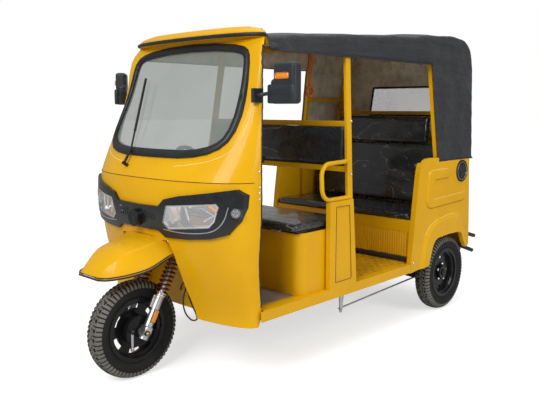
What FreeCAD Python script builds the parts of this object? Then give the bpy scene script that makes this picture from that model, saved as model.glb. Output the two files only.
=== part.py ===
import FreeCAD, Part
import math
import os

# Auto rickshaw with one steered wheel in front and two wheels behind.
# Millimetres. +Z is up, the front faces -Y and the vehicle's left side is +X.
# While pieces are made, Y is measured from the middle of the wheelbase. The export
# moves everything so that the origin is at the middle of the outline on the ground.

Vector = FreeCAD.Vector

# Wheels and tyres
WHEELBASE = 2190.0
HALF_TRACK = 548.0
TYRE_R = 257.5
TYRE_HALF_W = 54.0
TREAD_HALF_W = 46.0
BEAD_HALF_W = 38.0
RIM_SEAT_R = 152.4
RIM_FLANGE_R = 171.0
RIM_WALL = 4.0
RIM_WELL_DEPTH = 12.0
RIM_SEAT_W = 12.0
FRONT_WINDOWS = 6
FRONT_WINDOW_LOW_R = 108.0
FRONT_WINDOW_HIGH_R = 132.0
FRONT_WINDOW_DEG = 30.0
FRONT_WINDOW_ROUND = 5.0
REAR_HOLES = 8
REAR_HOLE_R = 11.0
REAR_HOLE_RING = 104.0
REAR_HUB_R = 46.0
REAR_HUB_IN = 22.0
REAR_HUB_OUT = 30.0
REAR_DRUM_R = 88.0
REAR_DRUM_W = 40.0
FLANGE_T = 6.0
DISC_T = 5.0
SEAT_GAP = 0.3
RUN_GAP = 0.05
AXLE_Z = TYRE_R
FRONT_AXLE_Y = -WHEELBASE / 2
REAR_AXLE_Y = WHEELBASE / 2

# Body shell
BODY_HALF_W = 620.0
SKIN = 16.0
SHEET = 6.0
FLOOR_Z = 405.0
FLOOR_T = 20.0
SILL_BOTTOM_Z = 350.0
SILL_W = 56.0
RAIL_X = 280.0
RAIL_W = 50.0
RAIL_H = 60.0
CROSS_W = 40.0
CROSS_RISE = 10.0
CROSS_YS = [-450.0, -60.0, 400.0, 740.0, 1290.0]
OUTRIGGER_W = 36.0
OUTRIGGER_RISE = 20.0
OUTRIGGER_YS = [-620.0, -300.0, 80.0, 480.0]
ENGINE_ROOM = 4.0

# Nose: at each height the middle of the front, the half width and the door edge
NOSE_LOW = [
    (322.0, -900.0, 600.0, -770.0),
    (590.0, -972.0, 612.0, -775.0),
    (750.0, -1018.0, 618.0, -775.0),
    (850.0, -1035.0, 620.0, -770.0),
    (950.0, -1040.0, 620.0, -768.0),
    (1045.0, -1030.0, 618.0, -765.0),
]
NOSE_HIGH = [
    (1045.0, -1030.0, 618.0, -765.0),
    (1100.0, -1000.0, 614.0, -761.0),
    (1170.0, -955.0, 608.0, -755.0),
    (1300.0, -872.0, 588.0, -732.0),
    (1450.0, -784.0, 563.0, -703.0),
    (1744.0, -668.0, 510.0, -630.0),
]
ROOF_CAP = [
    (1744.0, -738.0, 510.0, -622.0),
    (1766.0, -735.0, 508.0, -622.0),
    (1787.0, -716.0, 470.0, -622.0),
    (1801.0, -690.0, 400.0, -622.0),
]
PLAN_POWER_X = 2.5
PLAN_POWER_Y = 2.07
PLAN_POINTS = 21

# Front wheel well in the nose, as half width and height
WELL_OUTLINE = [(311.0, 200.0), (234.0, 476.0), (220.0, 652.0), (196.0, 738.0)]
WELL_WALL = 6.0
WELL_REAR_LOW_Y = -786.0
WELL_REAR_HIGH_Y = -700.0
WELL_KNEE_Z = 560.0

# Windshield
SHIELD_OUTLINE = [
    (0.0, 1150.0), (230.0, 1152.0), (330.0, 1161.0), (400.0, 1176.0), (452.0, 1201.0), (484.0, 1235.0),
    (501.0, 1285.0), (505.0, 1362.0), (490.0, 1524.0), (478.0, 1618.0), (467.0, 1655.0), (448.0, 1682.0),
    (414.0, 1700.0), (349.0, 1714.0), (200.0, 1729.0), (0.0, 1734.0),
]
SEAL_W = 38.0
SEAL_PROUD = 9.0
GLASS_T = 6.0
GLASS_DEEP = 2.0
GLASS_REACH = 0.75

# Instrument shelf inside the nose
DASH_REAR_Y = -840.0
DASH_LOW_Z = 1000.0
DASH_TOP_Z = 1018.0

# Fascia and lamps, half outlines as x and z
FASCIA_OUTLINE = [
    (0.0, 790.0), (160.0, 790.0), (205.0, 759.0), (350.0, 764.0), (473.0, 777.0),
    (546.0, 800.0), (588.0, 863.0), (604.0, 928.0), (606.0, 990.0), (579.0, 1018.0),
    (466.0, 999.0), (307.0, 975.0), (217.0, 953.0), (175.0, 915.0), (0.0, 912.0),
]
LENS_OUTLINE = [
    (238.0, 925.0), (508.0, 951.0), (521.0, 935.0), (501.0, 862.0), (473.0, 831.0),
    (242.0, 805.0), (206.0, 836.0),
]
FASCIA_PROUD = 18.0
LENS_PROUD = 22.0
LENS_T = 6.0
BUCKET_DEPTH = 70.0
BUCKET_WALL = 4.0
ROUND_LAMP_X = 571.0
ROUND_LAMP_Z = 907.0
ROUND_LAMP_R = 27.0
ROUND_LAMP_L = 24.0
ROUND_LAMP_TURN = 48.0
HORN_Z = 841.0
HORN_R = 44.0
HORN_PROUD = 25.0

# Front mudguard: stations with y, half width, lower edge, shoulder and crown
MUDGUARD_STATIONS = [
    (-930.0, 214.0, 668.0, 150.0, 742.0, 762.0),
    (-1016.0, 208.0, 650.0, 142.0, 738.0, 757.0),
    (-1117.0, 192.0, 606.0, 128.0, 708.0, 738.0),
    (-1218.0, 172.0, 588.0, 112.0, 680.0, 716.0),
    (-1306.0, 128.0, 578.0, 80.0, 622.0, 648.0),
    (-1345.0, 84.0, 577.0, 50.0, 584.0, 592.0),
]
MUDGUARD_T = 5.0

# Steering: axis through the head tube, measured along it from the crown
RAKE_DEG = 29.0
CROWN_Y = -819.0
CROWN_Z = 655.0
LEG_X = 95.0
LEG_AHEAD = 40.0
RAKE = math.radians(RAKE_DEG)
AXLE_AHEAD = (CROWN_Y - FRONT_AXLE_Y) * math.cos(RAKE) - (CROWN_Z - AXLE_Z) * math.sin(RAKE)
AXLE_DOWN = (CROWN_Y - FRONT_AXLE_Y) * math.sin(RAKE) + (CROWN_Z - AXLE_Z) * math.cos(RAKE)
STEM_R = 16.0
STEM_TOP = 505.0
CROWN_T = 24.0
CROWN_RIM = 30.0
HEAD_TUBE_R = 27.0
HEAD_TUBE_L = 220.0
HEAD_GAP = 0.5
STRUT_HALF_W = 23.0
STRUT_GAP = 4.0
SLIDER_R = 23.0
SLIDER_TOP = -263.5
SLIDER_FOOT = 34.0
STANCHION_R = 14.0
STANCHION_SEAT = 60.0
SPRING_CUP = 5.0
SPRING_WALL = 6.0
SPRING_R = 35.0
SPRING_TOP = -44.0
SPRING_TURNS = 11
FRONT_AXLE_R = 8.0
AXLE_NUT_T = 10.0
AXLE_NUT_WALL = 6.0
AXLE_TAIL = 2.0
DRUM_R = 82.0
DRUM_LIP = 6.0
HUB_HALF_W = 47.0
HUB_R = 30.0
HUB_END_GAP = 5.0
PLATE_T = 8.0
PLATE_BOSS_R = 18.0
BRAKE_ARM = [(-50.0, -10.0), (-40.0, -10.0), (-66.0, 40.0), (-80.0, 36.0)]
BRAKE_ARM_T = 7.0
BAR_R = 11.0
BAR_ROUTE = [
    (0.0, -10.0, 15.0), (70.0, -10.0, 15.0), (130.0, -40.0, 60.0), (235.0, -20.0, 75.0), (370.0, 50.0, 62.0),
]
BAR_CURVE = 0.4
BAR_CLAMP_X = 40.0
BAR_CLAMP_Y = (-34.0, 24.0)
BAR_CLAMP_Z = (-36.0, 20.0)
GRIP_R = 17.0
GRIP_L = 115.0
GRIP_END = 4.0
CABLE_R = 4.0
CABLE_ROUTE = [
    (20.0, -795.8, 408.0), (62.0, -818.0, 448.0), (114.0, -846.0, 474.0), (168.0, -874.0, 474.0),
    (208.0, -892.0, 438.0), (230.0, -888.0, 386.0), (244.0, -872.0, 338.0), (252.0, -868.0, 306.0),
    (234.0, -892.0, 302.0), (216.0, -918.0, 338.0), (212.0, -932.0, 388.0), (205.0, -922.0, 436.0),
    (188.0, -886.0, 484.0), (170.0, -838.0, 520.0), (150.0, -794.2, 540.0),
]

# Door pillars and driver compartment
PILLAR_T = 16.0
PILLAR_W = 44.0
STEP_T = 30.0
PILLAR_TOP_X = 529.0
PILLAR_LOW_X = 611.0
PILLAR_TOP_Y = 18.0
PILLAR_LOW_Y = -49.0
PILLAR_LOW_Z = 894.0
PILLAR_REF_Z = 1675.0
STEP_PANEL = [(-234.0, 405.0), (12.0, 405.0), (-30.0, 892.0), (-236.0, 892.0)]
HANDLE_R = 12.0
STEP_INSET = [(-183.0, 440.0), (-40.0, 440.0), (-66.0, 860.0), (-183.0, 860.0)]
STEP_INSET_DEEP = 2.5
HANDLE_X = 603.0
HANDLE_TOP_Z = 1106.0
HANDLE_TOP_Y = -40.0
HANDLE_PATH = [(-100.0, 1105.0), (-298.0, 1099.0), (-286.0, 903.0), (-52.0, 903.0)]
HANDLE_CURVE = 0.33
PARTITION_T = 30.0
PARTITION_TOP_Z = 1311.0
PARTITION_LOW_Z = 1058.0
PAD_T = 22.0
PAD_PROUD = 4.0
PAD_STAY_X = 300.0
PAD_STAY_HALF_W = 10.0
PAD_STAY_HALF_T = 5.0
SEAT_BOX_HALF_W = 584.0
SEAT_BOX_FRONT_Y = -442.0
SEAT_BOX_REAR_Y = -50.0
SEAT_BOX_TOP_Z = 742.0
SEAT_BOX_ROUND = 60.0
SEAT_BASE_T = 12.0
SEAT_HALF_W = 584.0
SEAT_FRONT_Y = -482.0
SEAT_REAR_Y = -66.0
SEAT_TOP_Z = 797.0
BOARD_IN = 12.0
BOARD_AHEAD = 14.0
CUSHION_ROUND = 10.0
HINGE_X = 300.0
HINGE_L = 40.0
HINGE_R = 6.0
HINGE_PIN_R = 3.0
HINGE_EAR_T = 6.0
HINGE_Y = -60.0
HINGE_Z = 748.0

# Passenger compartment
QUARTER_OUTLINE = [
    (594.0, 346.0), (640.0, 760.0), (673.0, 996.0), (681.0, 1024.0), (697.0, 1048.0), (718.0, 1064.0),
    (745.0, 1073.0), (800.0, 1077.0), (905.0, 1072.0), (912.0, 1045.0), (1334.0, 1045.0), (1356.0, 720.0),
    (1373.0, 428.0), (1350.0, 408.0),
]
ARCH_OUTLINE = [
    (786.0, 300.0), (799.0, 349.0), (828.0, 440.0), (850.0, 492.0), (875.0, 522.0), (912.0, 536.0),
    (1053.0, 543.0), (1195.0, 540.0), (1228.0, 528.0), (1250.0, 504.0), (1270.0, 462.0), (1297.0, 427.0),
    (1350.0, 400.0), (1420.0, 300.0),
]
FLARE_OUTLINE = [
    (680.0, 250.0), (697.0, 351.0), (728.0, 490.0), (757.0, 572.0), (798.0, 620.0), (850.0, 650.0),
    (904.0, 668.0), (1034.0, 685.0), (1124.0, 687.0), (1204.0, 664.0), (1271.0, 617.0), (1312.0, 560.0),
    (1344.0, 470.0), (1352.0, 250.0),
]
FLARE_PROUD = 14.0
FLARE_SLOPE = 36.0
EDGE_T = 34.0
EDGE_W = 28.0
EMBOSS_OUTLINE = [
    (768.0, 790.0), (776.0, 762.0), (800.0, 745.0), (836.0, 742.0), (1250.0, 756.0), (1276.0, 766.0),
    (1286.0, 786.0), (1281.0, 806.0), (1262.0, 815.0), (866.0, 801.0), (843.0, 806.0), (834.0, 826.0),
    (842.0, 902.0), (850.0, 918.0), (868.0, 926.0), (1026.0, 931.0), (1048.0, 944.0), (1056.0, 966.0),
    (1046.0, 988.0), (1022.0, 995.0), (830.0, 994.0), (804.0, 986.0), (789.0, 966.0),
]
EMBOSS_PROUD = 6.0
EMBOSS_SLOPE = 6.0
BADGE_Y = 1225.0
BADGE_Z = 965.0
BADGE_R = 76.0
BADGE_T = 5.0
TUB_X = 474.0
TUB_FRONT_Y = 782.0
TUB_TOP_Z = 590.0
REAR_WALL_Y = 1340.0
REAR_EDGE_Y = 1300.0
BENCH_FRONT_Y = 640.0
BENCH_HALF_W = BODY_HALF_W - EDGE_T - SEAT_GAP
BENCH_TOP_Z = 680.0
BENCH_SEAT_Z = 728.0
BACKREST_Y = 1060.0
BACKREST_T = 70.0
BACKREST_TOP_Z = 1148.0
BACKREST_HALF_W = 570.0
BENCH_SEAT_HALF_W = 568.0
BACKREST_LEAN = 50.0
HEADREST_Z = 1150.0
HEADREST_TOP_Z = 1339.0
HEADREST_HALF_W = 400.0
HEADREST_T = 45.0
HEADREST_ROUND = 12.0
RIB_COUNT = 12
RIB_HALF_W = 22.0
RIB_PROUD = 4.0
RIB_FOOT = 10.0
PLAIN_BAND = 110.0
BENCH_STAY_X = 320.0
BENCH_STAY_HALF_W = 15.0
BENCH_STAY_REACH = 100.0

# Upper frame and canopy
FRAME_TUBE = 26.0
ROOF_FRONT_Y = -622.0
CANOPY_LINE = [
    (-622.0, 1762.0), (-43.0, 1806.0), (455.0, 1837.0), (844.0, 1864.0), (1206.0, 1893.0),
    (1361.0, 1876.0), (1447.0, 1846.0),
]
CANOPY_REAR = [(1478.0, 1794.0), (1486.0, 1660.0), (1481.0, 1597.0), (1420.0, 1312.0), (1398.0, 1046.0)]
CANOPY_T = 7.0
CANOPY_OVERLAP = 10.0
CANOPY_TOP_X = 528.0
CANOPY_MID_X = 541.0
CANOPY_LOW_X = 612.0
CANOPY_CROWN = 30.0
CROWN_SHARE = 0.75
CANOPY_SHOULDER = 22.0
VALANCE_Z = 1680.0
RAIL_DROP = 16.0
POST_GAP = 5.0
RAIL_GAP = 6.0
CURTAIN_Y = 915.0
CURTAIN_LOW_Z = 1046.0
C_POST_Y = 930.0
D_POST_Y = 1303.0
D_POST_TOP_Y = 1424.0
SIDE_BAR_Z = 1460.0
HEAD_BAR_Z = 1361.0
BOW_YS = [-300.0, 20.0, 480.0, 930.0]
WINDOW_HALF_W = 300.0
WINDOW_LOW_Z = 1342.0
WINDOW_TOP_Z = 1556.0
WINDOW_T = 3.0
STRAP_X = 250.0
STRAP_Y = 20.0
STRAP_W = 26.0
STRAP_T = 4.0
RING_TOP_Z = 1532.0
RING_LOW_Z = 1474.0
RING_R = 8.0

# Running gear, engine and small pieces
REAR_AXLE_R = 30.0
TUBE_END_GAP = 20.0
STUB_R = 15.0
STUB_NUT_R = 22.0
STUB_NUT_T = 6.0
STUB_GAP = 1.0
BACK_PLATE_R = 94.0
BACK_PLATE_T = 6.0
BACK_PLATE_GAP = 12.0
DIFF_R = 95.0
DIFF_NOSE_R = 46.0
DIFF_NOSE_L = 50.0
LEAF_X = 380.0
LEAF_W = 50.0
LEAF_T = 8.0
LEAF_COUNT = 4
LEAF_HALF = 245.0
LEAF_FLAT = 42.0
LEAF_RISE = 42.0
LEAF_PAD = 6.0
LEAF_PAD_HALF = 40.0
HANGER_T = 12.0
SPRING_RAIL_END = 2.0
REAR_TIE_Y = 60.0
ENGINE_HALF_W = 150.0
ENGINE_FRONT_Y = -410.0
ENGINE_REAR_Y = -110.0
ENGINE_LOW_Z = 270.0
ENGINE_TOP_Z = 620.0
SHAFT_R = 20.0
SHAFT_RISE = 60.0
BUMPER_R = 16.0
BUMPER_Y = 1440.0
BUMPER_HIGH_Z = 451.0
BUMPER_LOW_Z = 365.0
BUMPER_HALF_W = 520.0
BUMPER_ARM_HALF_W = 12.0
BUMPER_ARM_HALF_H = 14.0
TAIL_LAMP_X0 = 470.0
TAIL_LAMP_X1 = 560.0
TAIL_LAMP_LOW_Z = 500.0
TAIL_LAMP_TOP_Z = 650.0
TAIL_LAMP_DEEP = 30.0
TAIL_LAMP_SLOPE = 8.0
TIE_HOLE_R = 9.0
TIE_HOLE_Y = 1405.0
PLATE_BOLT_X = 105.0
PLATE_BOLT_Z = 640.0
PLATE_BOLT_R = 3.5
BRAKE_ROD_R = 5.0
BRAKE_ROD_IN = 14.0
BRAKE_ROD_END = (448.0, 995.0, 232.0)
BRAKE_PIN_Z = 225.0
BRAKE_PIN_IN = 16.0
BRAKE_PIN_OUT = 6.0
BRAKE_BRACKET_X = 520.0
BRAKE_BRACKET_Y = (-20.0, 30.0)
BRAKE_BRACKET_T = 8.0
BRAKE_BRACKET_FOOT = 19.0
BRAKE_BEAM_Z = 345.0
BRAKE_BEAM_T = 10.0
MIRROR_X = 706.0
MIRROR_Y = -652.0
MIRROR_Z = 1513.0
MIRROR_HALF_W = 68.0
MIRROR_HALF_H = 96.0
MIRROR_DEPTH = 62.0
MIRROR_ROUND = 18.0
MIRROR_STEP_W = 34.0
MIRROR_STEP_TOP_Z = 1535.0
MIRROR_STEP_DEPTH = 46.0
MIRROR_RIGHT_TURN = 40.0
MIRROR_ARM = [
    (548.0, -735.0, 1457.0), (590.0, -745.0, 1459.0), (630.0, -694.0, 1471.0), (660.0, -684.0, 1487.0),
]
MIRROR_ARM_R = 9.0
MIRROR_ARM_CURVE = 0.4
MIRROR_FOOT_X = (545.0, 566.0)
MIRROR_FOOT_Y = (-762.0, -706.0)
MIRROR_FOOT_Z = (1423.0, 1491.0)
WIPER_X = -150.0
WIPER_Z = 1096.0
WIPER_TIP_X = -300.0
WIPER_TIP_Z = 1560.0
WIPER_KNEE_X = -158.0
WIPER_KNEE_RISE = 90.0
WIPER_PROUD = 25.0
WIPER_SPINDLE_L = 34.0
WIPER_SPINDLE_R = 9.0
WIPER_ARM_R = 5.0
WIPER_ARM_SHARE = 0.62
WIPER_BLADE_R = 7.0
WIPER_BLADE_START = 0.24


def box(x0, x1, y0, y1, z0, z1):
    """Box between two corners."""
    return Part.makeBox(x1 - x0, y1 - y0, z1 - z0, Vector(x0, y0, z0))


def face_of(points):
    """Flat face inside a closed outline."""
    return Part.Face(Part.makePolygon(points + [points[0]]))


def prism_x(outline, x0, x1):
    """Outline given as y and z, drawn out along X."""
    face = face_of([Vector(x0, y, z) for y, z in outline])
    return face.extrude(Vector(x1 - x0, 0, 0))


def prism_y(outline, y0, y1):
    """Outline given as x and z, drawn out along Y."""
    face = face_of([Vector(x, y0, z) for x, z in outline])
    return face.extrude(Vector(0, y1 - y0, 0))


def mirrored(shape):
    """The same shape on the other side of the vehicle."""
    return shape.mirror(Vector(0, 0, 0), Vector(1, 0, 0))


def both_sides(shape):
    """A left piece and its mirror image, as two solids that don't touch."""
    return Part.makeCompound([shape, mirrored(shape)])


def full_outline(half):
    """Outline of both sides from the half with x above zero."""
    other = [(-x, z) for x, z in reversed(half) if x > 0]
    return half + other


def grown(outline, amount):
    """Closed outline of x and z with each edge moved outward by an amount."""
    wire = Part.makePolygon([Vector(x, z, 0) for x, z in outline + [outline[0]]])
    moved = wire.makeOffset2D(amount, 2)
    return [(v.Point.x, v.Point.y) for v in moved.OrderedVertexes]


def moved_in(outline, amount):
    """Closed outline with each corner moved inward along its bisector."""
    area = 0
    for (a0, b0), (a1, b1) in zip(outline, outline[1:] + outline[:1]):
        area += a0 * b1 - a1 * b0
    turn = math.copysign(1, area)
    result = []
    for i, (a, b) in enumerate(outline):
        before = outline[i - 1]
        after = outline[(i + 1) % len(outline)]
        length_in = math.hypot(a - before[0], b - before[1])
        length_out = math.hypot(after[0] - a, after[1] - b)
        na = turn * (-(b - before[1]) / length_in - (after[1] - b) / length_out)
        nb = turn * ((a - before[0]) / length_in + (after[0] - a) / length_out)
        scale = 2 * amount / (na * na + nb * nb)
        result.append((a + na * scale, b + nb * scale))
    return result


def raised_x(outline, x0, x1, slope):
    """Outline of y and z, drawn out along X with its edges sloped inward."""
    low = [Vector(x0, y, z) for y, z in outline]
    high = [Vector(x1, y, z) for y, z in moved_in(outline, slope)]
    rings = [Part.makePolygon(ring + [ring[0]]) for ring in (low, high)]
    return Part.makeLoft(rings, True, True)


def smooth_path(points, share=0.45):
    """Straight runs with a tangent arc at each inner point."""
    edges = []
    start = points[0]
    for before, corner, after in zip(points, points[1:], points[2:]):
        run_in = corner - before
        run_out = after - corner
        cut = share * min(run_in.Length, run_out.Length)
        turn = run_in.getAngle(run_out)
        first = corner - run_in.normalize() * cut
        last = corner + run_out.normalize() * cut
        to_middle = ((first + last) * 0.5 - corner).normalize()
        radius = cut / math.tan(turn / 2)
        reach = math.hypot(cut, radius) - radius
        edges.append(Part.LineSegment(start, first).toShape())
        edges.append(Part.Arc(first, corner + to_middle * reach, last).toShape())
        start = last
    edges.append(Part.LineSegment(start, points[-1]).toShape())
    return Part.Wire(edges)


def tube_along(points, radius, share=0.45):
    """Round bar along a path of points."""
    path = smooth_path(points, share)
    direction = (points[1] - points[0]).normalize()
    ring = Part.Wire(Part.makeCircle(radius, points[0], direction))
    return path.makePipeShell([ring], True, False)


def rod(start, end, radius):
    """Round bar between two points."""
    return Part.makeCylinder(radius, (end - start).Length, start, end - start)


def revolved(profile, x0, y0, z0):
    """Outline given as x and radius, turned about the X direction through a point."""
    face = face_of([Vector(x, 0, r) for x, r in profile])
    solid = face.revolve(Vector(0, 0, 0), Vector(1, 0, 0), 360)
    solid.translate(Vector(x0, y0, z0))
    return solid


def plan_wire(z, centre_y, half_w, door_y, back):
    """Rounded front outline at one height, closed behind the door edge."""
    curve = []
    for i in range(PLAN_POINTS):
        angle = math.pi * i / (PLAN_POINTS - 1)
        c = math.cos(angle)
        s = math.sin(angle)
        x = half_w * math.copysign(abs(c) ** (2 / PLAN_POWER_X), c)
        y = door_y - (door_y - centre_y) * abs(s) ** (2 / PLAN_POWER_Y)
        curve.append(Vector(x, y, z))
    spline = Part.BSplineCurve()
    spline.interpolate(curve)
    right = Vector(-half_w, door_y + back, z)
    left = Vector(half_w, door_y + back, z)
    edges = [spline.toShape()]
    if back > 0:
        edges.append(Part.LineSegment(curve[-1], right).toShape())
        edges.append(Part.LineSegment(right, left).toShape())
        edges.append(Part.LineSegment(left, curve[0]).toShape())
    else:
        edges.append(Part.LineSegment(curve[-1], curve[0]).toShape())
    return Part.Wire(edges)


FRONT_SOLIDS = {}


def front_solid(sections, offset=0.0, back=0.0):
    """Solid front end through the sections, moved outward by an offset."""
    key = (tuple(sections), offset, back)
    if key not in FRONT_SOLIDS:
        wires = []
        for z, centre_y, half_w, door_y in sections:
            wires.append(plan_wire(z, centre_y - offset, half_w + offset, door_y, back))
        FRONT_SOLIDS[key] = Part.makeLoft(wires, True, False)
    return FRONT_SOLIDS[key]


def front_shell(sections, outside, inside):
    """Wall between two offsets of the front end, open at the back."""
    outer = front_solid(sections, outside)
    return outer.cut(front_solid(sections, inside, 2 * BODY_HALF_W))


def well_outline():
    """Outline of the front wheel well across the vehicle."""
    return [(x, z) for x, z in WELL_OUTLINE] + [(-x, z) for x, z in reversed(WELL_OUTLINE)]


def make_nose_panel():
    """Lower nose with its wheel well opening and lamp holes."""
    shell = front_shell(NOSE_LOW, 0, -SKIN)
    shell = shell.cut(prism_y(well_outline(), -WHEELBASE, WELL_REAR_LOW_Y))
    lens = prism_y(grown(LENS_OUTLINE, -BUCKET_WALL), -WHEELBASE, NOSE_LOW[0][1])
    return shell.cut(lens).cut(mirrored(lens))


def make_wheel_well():
    """Sheet walls of the front wheel well behind the nose."""
    low_z = WELL_OUTLINE[0][1]
    top_z = WELL_OUTLINE[-1][1]
    rear = [(WELL_REAR_LOW_Y, low_z), (WELL_REAR_LOW_Y, WELL_KNEE_Z), (WELL_REAR_HIGH_Y, top_z)]
    high_z = NOSE_LOW[2][0]
    side = [(FRONT_AXLE_Y, low_z)] + rear + [(WELL_REAR_HIGH_Y, high_z), (FRONT_AXLE_Y, high_z)]
    hollow = [(-WHEELBASE, low_z)] + [(y - WELL_WALL, z) for y, z in rear] + [(-WHEELBASE, top_z)]
    block = prism_y(grown(well_outline(), WELL_WALL), FRONT_AXLE_Y, WELL_REAR_HIGH_Y)
    block = block.common(prism_x(side, -BODY_HALF_W, BODY_HALF_W))
    space = prism_y(well_outline(), -WHEELBASE, WELL_REAR_HIGH_Y)
    space = space.common(prism_x(hollow, -BODY_HALF_W, BODY_HALF_W))
    block = block.cut(space).common(front_solid(NOSE_LOW, -SKIN, SKIN))
    return block.cut(along_axis(HEAD_TUBE_R + WELL_WALL, -AXLE_DOWN, STEM_TOP))


def shield_outline(shrink=0.0):
    """Windshield outline of both sides, moved inward by an amount."""
    outline = full_outline(SHIELD_OUTLINE)
    return grown(outline, -shrink) if shrink else outline


def make_shield_frame():
    """Upper front frame around the windshield, down to the body seam."""
    shell = front_shell(NOSE_HIGH, 0, -SKIN)
    return shell.cut(prism_y(shield_outline(SEAL_W / 2), -WHEELBASE, NOSE_HIGH[-1][3]))


def make_shield_seal():
    """Rubber seal that holds the glass in the frame."""
    ring = prism_y(shield_outline(), -WHEELBASE, NOSE_HIGH[-1][3])
    ring = ring.cut(prism_y(shield_outline(SEAL_W), -2 * WHEELBASE, 0))
    seal = ring.common(front_shell(NOSE_HIGH, SEAL_PROUD, -SKIN))
    metal = prism_y(shield_outline(-SEAL_W), -WHEELBASE, NOSE_HIGH[-1][3])
    metal = metal.cut(prism_y(shield_outline(SEAL_W / 2), -2 * WHEELBASE, 0))
    metal = metal.common(front_solid(NOSE_HIGH))
    glass = prism_y(shield_outline(SEAL_W * GLASS_REACH), -WHEELBASE, NOSE_HIGH[-1][3])
    glass = glass.common(front_shell(NOSE_HIGH, -GLASS_DEEP, -GLASS_DEEP - GLASS_T))
    return seal.cut(metal).cut(glass)


def make_shield_glass():
    """Curved windshield glass that reaches into the seal."""
    sheet = prism_y(shield_outline(SEAL_W * GLASS_REACH + SEAT_GAP), -WHEELBASE, NOSE_HIGH[-1][3])
    return sheet.common(front_shell(NOSE_HIGH, -GLASS_DEEP - SEAT_GAP, -GLASS_DEEP - GLASS_T + SEAT_GAP))


def make_roof_cap():
    """Moulded cap over the windshield with its visor lip."""
    cap = front_solid(ROOF_CAP)
    low_z = ROOF_CAP[0][0]
    top = NOSE_HIGH[-1]
    hollow = plan_wire(low_z, top[1] + SKIN, top[2] - SKIN, top[3], 2 * SKIN + ROOF_FRONT_Y - top[3])
    depth = ROOF_CAP[-1][0] - low_z - SKIN
    hollow = Part.Face(hollow).extrude(Vector(0, 0, depth))
    return cap.cut(hollow)


def make_fascia():
    """Black lamp band across the nose."""
    band = prism_y(full_outline(FASCIA_OUTLINE), -WHEELBASE, NOSE_LOW[0][3])
    band = band.common(front_shell(NOSE_LOW, FASCIA_PROUD, 0))
    lens = prism_y(grown(LENS_OUTLINE, SEAT_GAP), -WHEELBASE, NOSE_LOW[0][1])
    band = band.cut(lens).cut(mirrored(lens))
    lamp = round_lamp_axis(ROUND_LAMP_R + SEAT_GAP)
    horn_front = shield_y(0, HORN_Z, FASCIA_PROUD + HORN_PROUD, NOSE_LOW)
    horn_face = Vector(0, horn_front, HORN_Z)
    horn = Part.makeCylinder(HORN_R, FASCIA_PROUD + HORN_PROUD, horn_face, Vector(0, 1, 0))
    band = band.fuse(horn.cut(front_solid(NOSE_LOW)))
    return band.cut(lamp).cut(mirrored(lamp))


def make_lens():
    """Clear cover of the left headlamp."""
    cover = prism_y(LENS_OUTLINE, -WHEELBASE, NOSE_LOW[0][1])
    return cover.common(front_shell(NOSE_LOW, LENS_PROUD, LENS_PROUD - LENS_T))


def make_bucket():
    """Reflector bowl behind the left headlamp cover."""
    outer = prism_y(grown(LENS_OUTLINE, -BUCKET_WALL - SEAT_GAP), -WHEELBASE, NOSE_LOW[0][1])
    outer = outer.common(front_shell(NOSE_LOW, LENS_PROUD - LENS_T - SEAT_GAP, -BUCKET_DEPTH))
    inner = prism_y(grown(LENS_OUTLINE, -2 * BUCKET_WALL - SEAT_GAP), -WHEELBASE, NOSE_LOW[0][1])
    return outer.cut(inner.common(front_shell(NOSE_LOW, LENS_PROUD, BUCKET_WALL - BUCKET_DEPTH)))


def make_bowls():
    """Reflector bowls of both headlamps."""
    return both_sides(make_bucket())


def round_lamp_axis(radius):
    """Cylinder through the left corner of the fascia."""
    turn = math.radians(ROUND_LAMP_TURN)
    out = Vector(math.sin(turn), -math.cos(turn), 0)
    middle = corner_point(ROUND_LAMP_X, ROUND_LAMP_Z)
    return Part.makeCylinder(radius, ROUND_LAMP_L, middle - out * SEAT_GAP, out)


def corner_point(x, z):
    """Point of the lower nose skin at a given x and height."""
    return Vector(x, shield_y(x, z, 0, NOSE_LOW), z)


def make_round_lamp():
    """Small round lamp beside the left headlamp."""
    return round_lamp_axis(ROUND_LAMP_R).cut(front_solid(NOSE_LOW, SEAT_GAP))


def arch_wire(y, half):
    """Closed arch at one station, from its left half as x and z."""
    points = [Vector(x, y, z) for x, z in half]
    points += [Vector(-p.x, y, p.z) for p in reversed(points[:-1])]
    return Part.makePolygon(points + [points[0]])


def make_mudguard():
    """Fixed front mudguard that grows out of the nose."""
    t = MUDGUARD_T
    outer = []
    inner = []
    for y, half_w, low_z, shoulder_w, shoulder_z, crown_z in MUDGUARD_STATIONS:
        inner_y = y + t if y == MUDGUARD_STATIONS[-1][0] else y
        outer.append(arch_wire(y, [(half_w, low_z), (shoulder_w, shoulder_z), (0, crown_z)]))
        inner.append(arch_wire(inner_y, [(half_w - t, low_z - t), (half_w - t, low_z + 1),
                                         (shoulder_w - t, shoulder_z - t), (0, crown_z - t)]))
    guard = Part.makeLoft(outer, True, True).cut(Part.makeLoft(inner, True, True))
    return guard.cut(front_solid(NOSE_LOW, 0, SKIN))


def placed_on_axis(shape):
    """Move a piece made upright about Z onto the raked steering axis."""
    moved = shape.copy()
    moved.rotate(Vector(0, 0, 0), Vector(1, 0, 0), -RAKE_DEG)
    moved.translate(Vector(0, CROWN_Y, CROWN_Z))
    return moved


def along_axis(radius, low, high):
    """Cylinder on the steering axis between two distances from the crown."""
    return placed_on_axis(Part.makeCylinder(radius, high - low, Vector(0, 0, low)))


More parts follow.
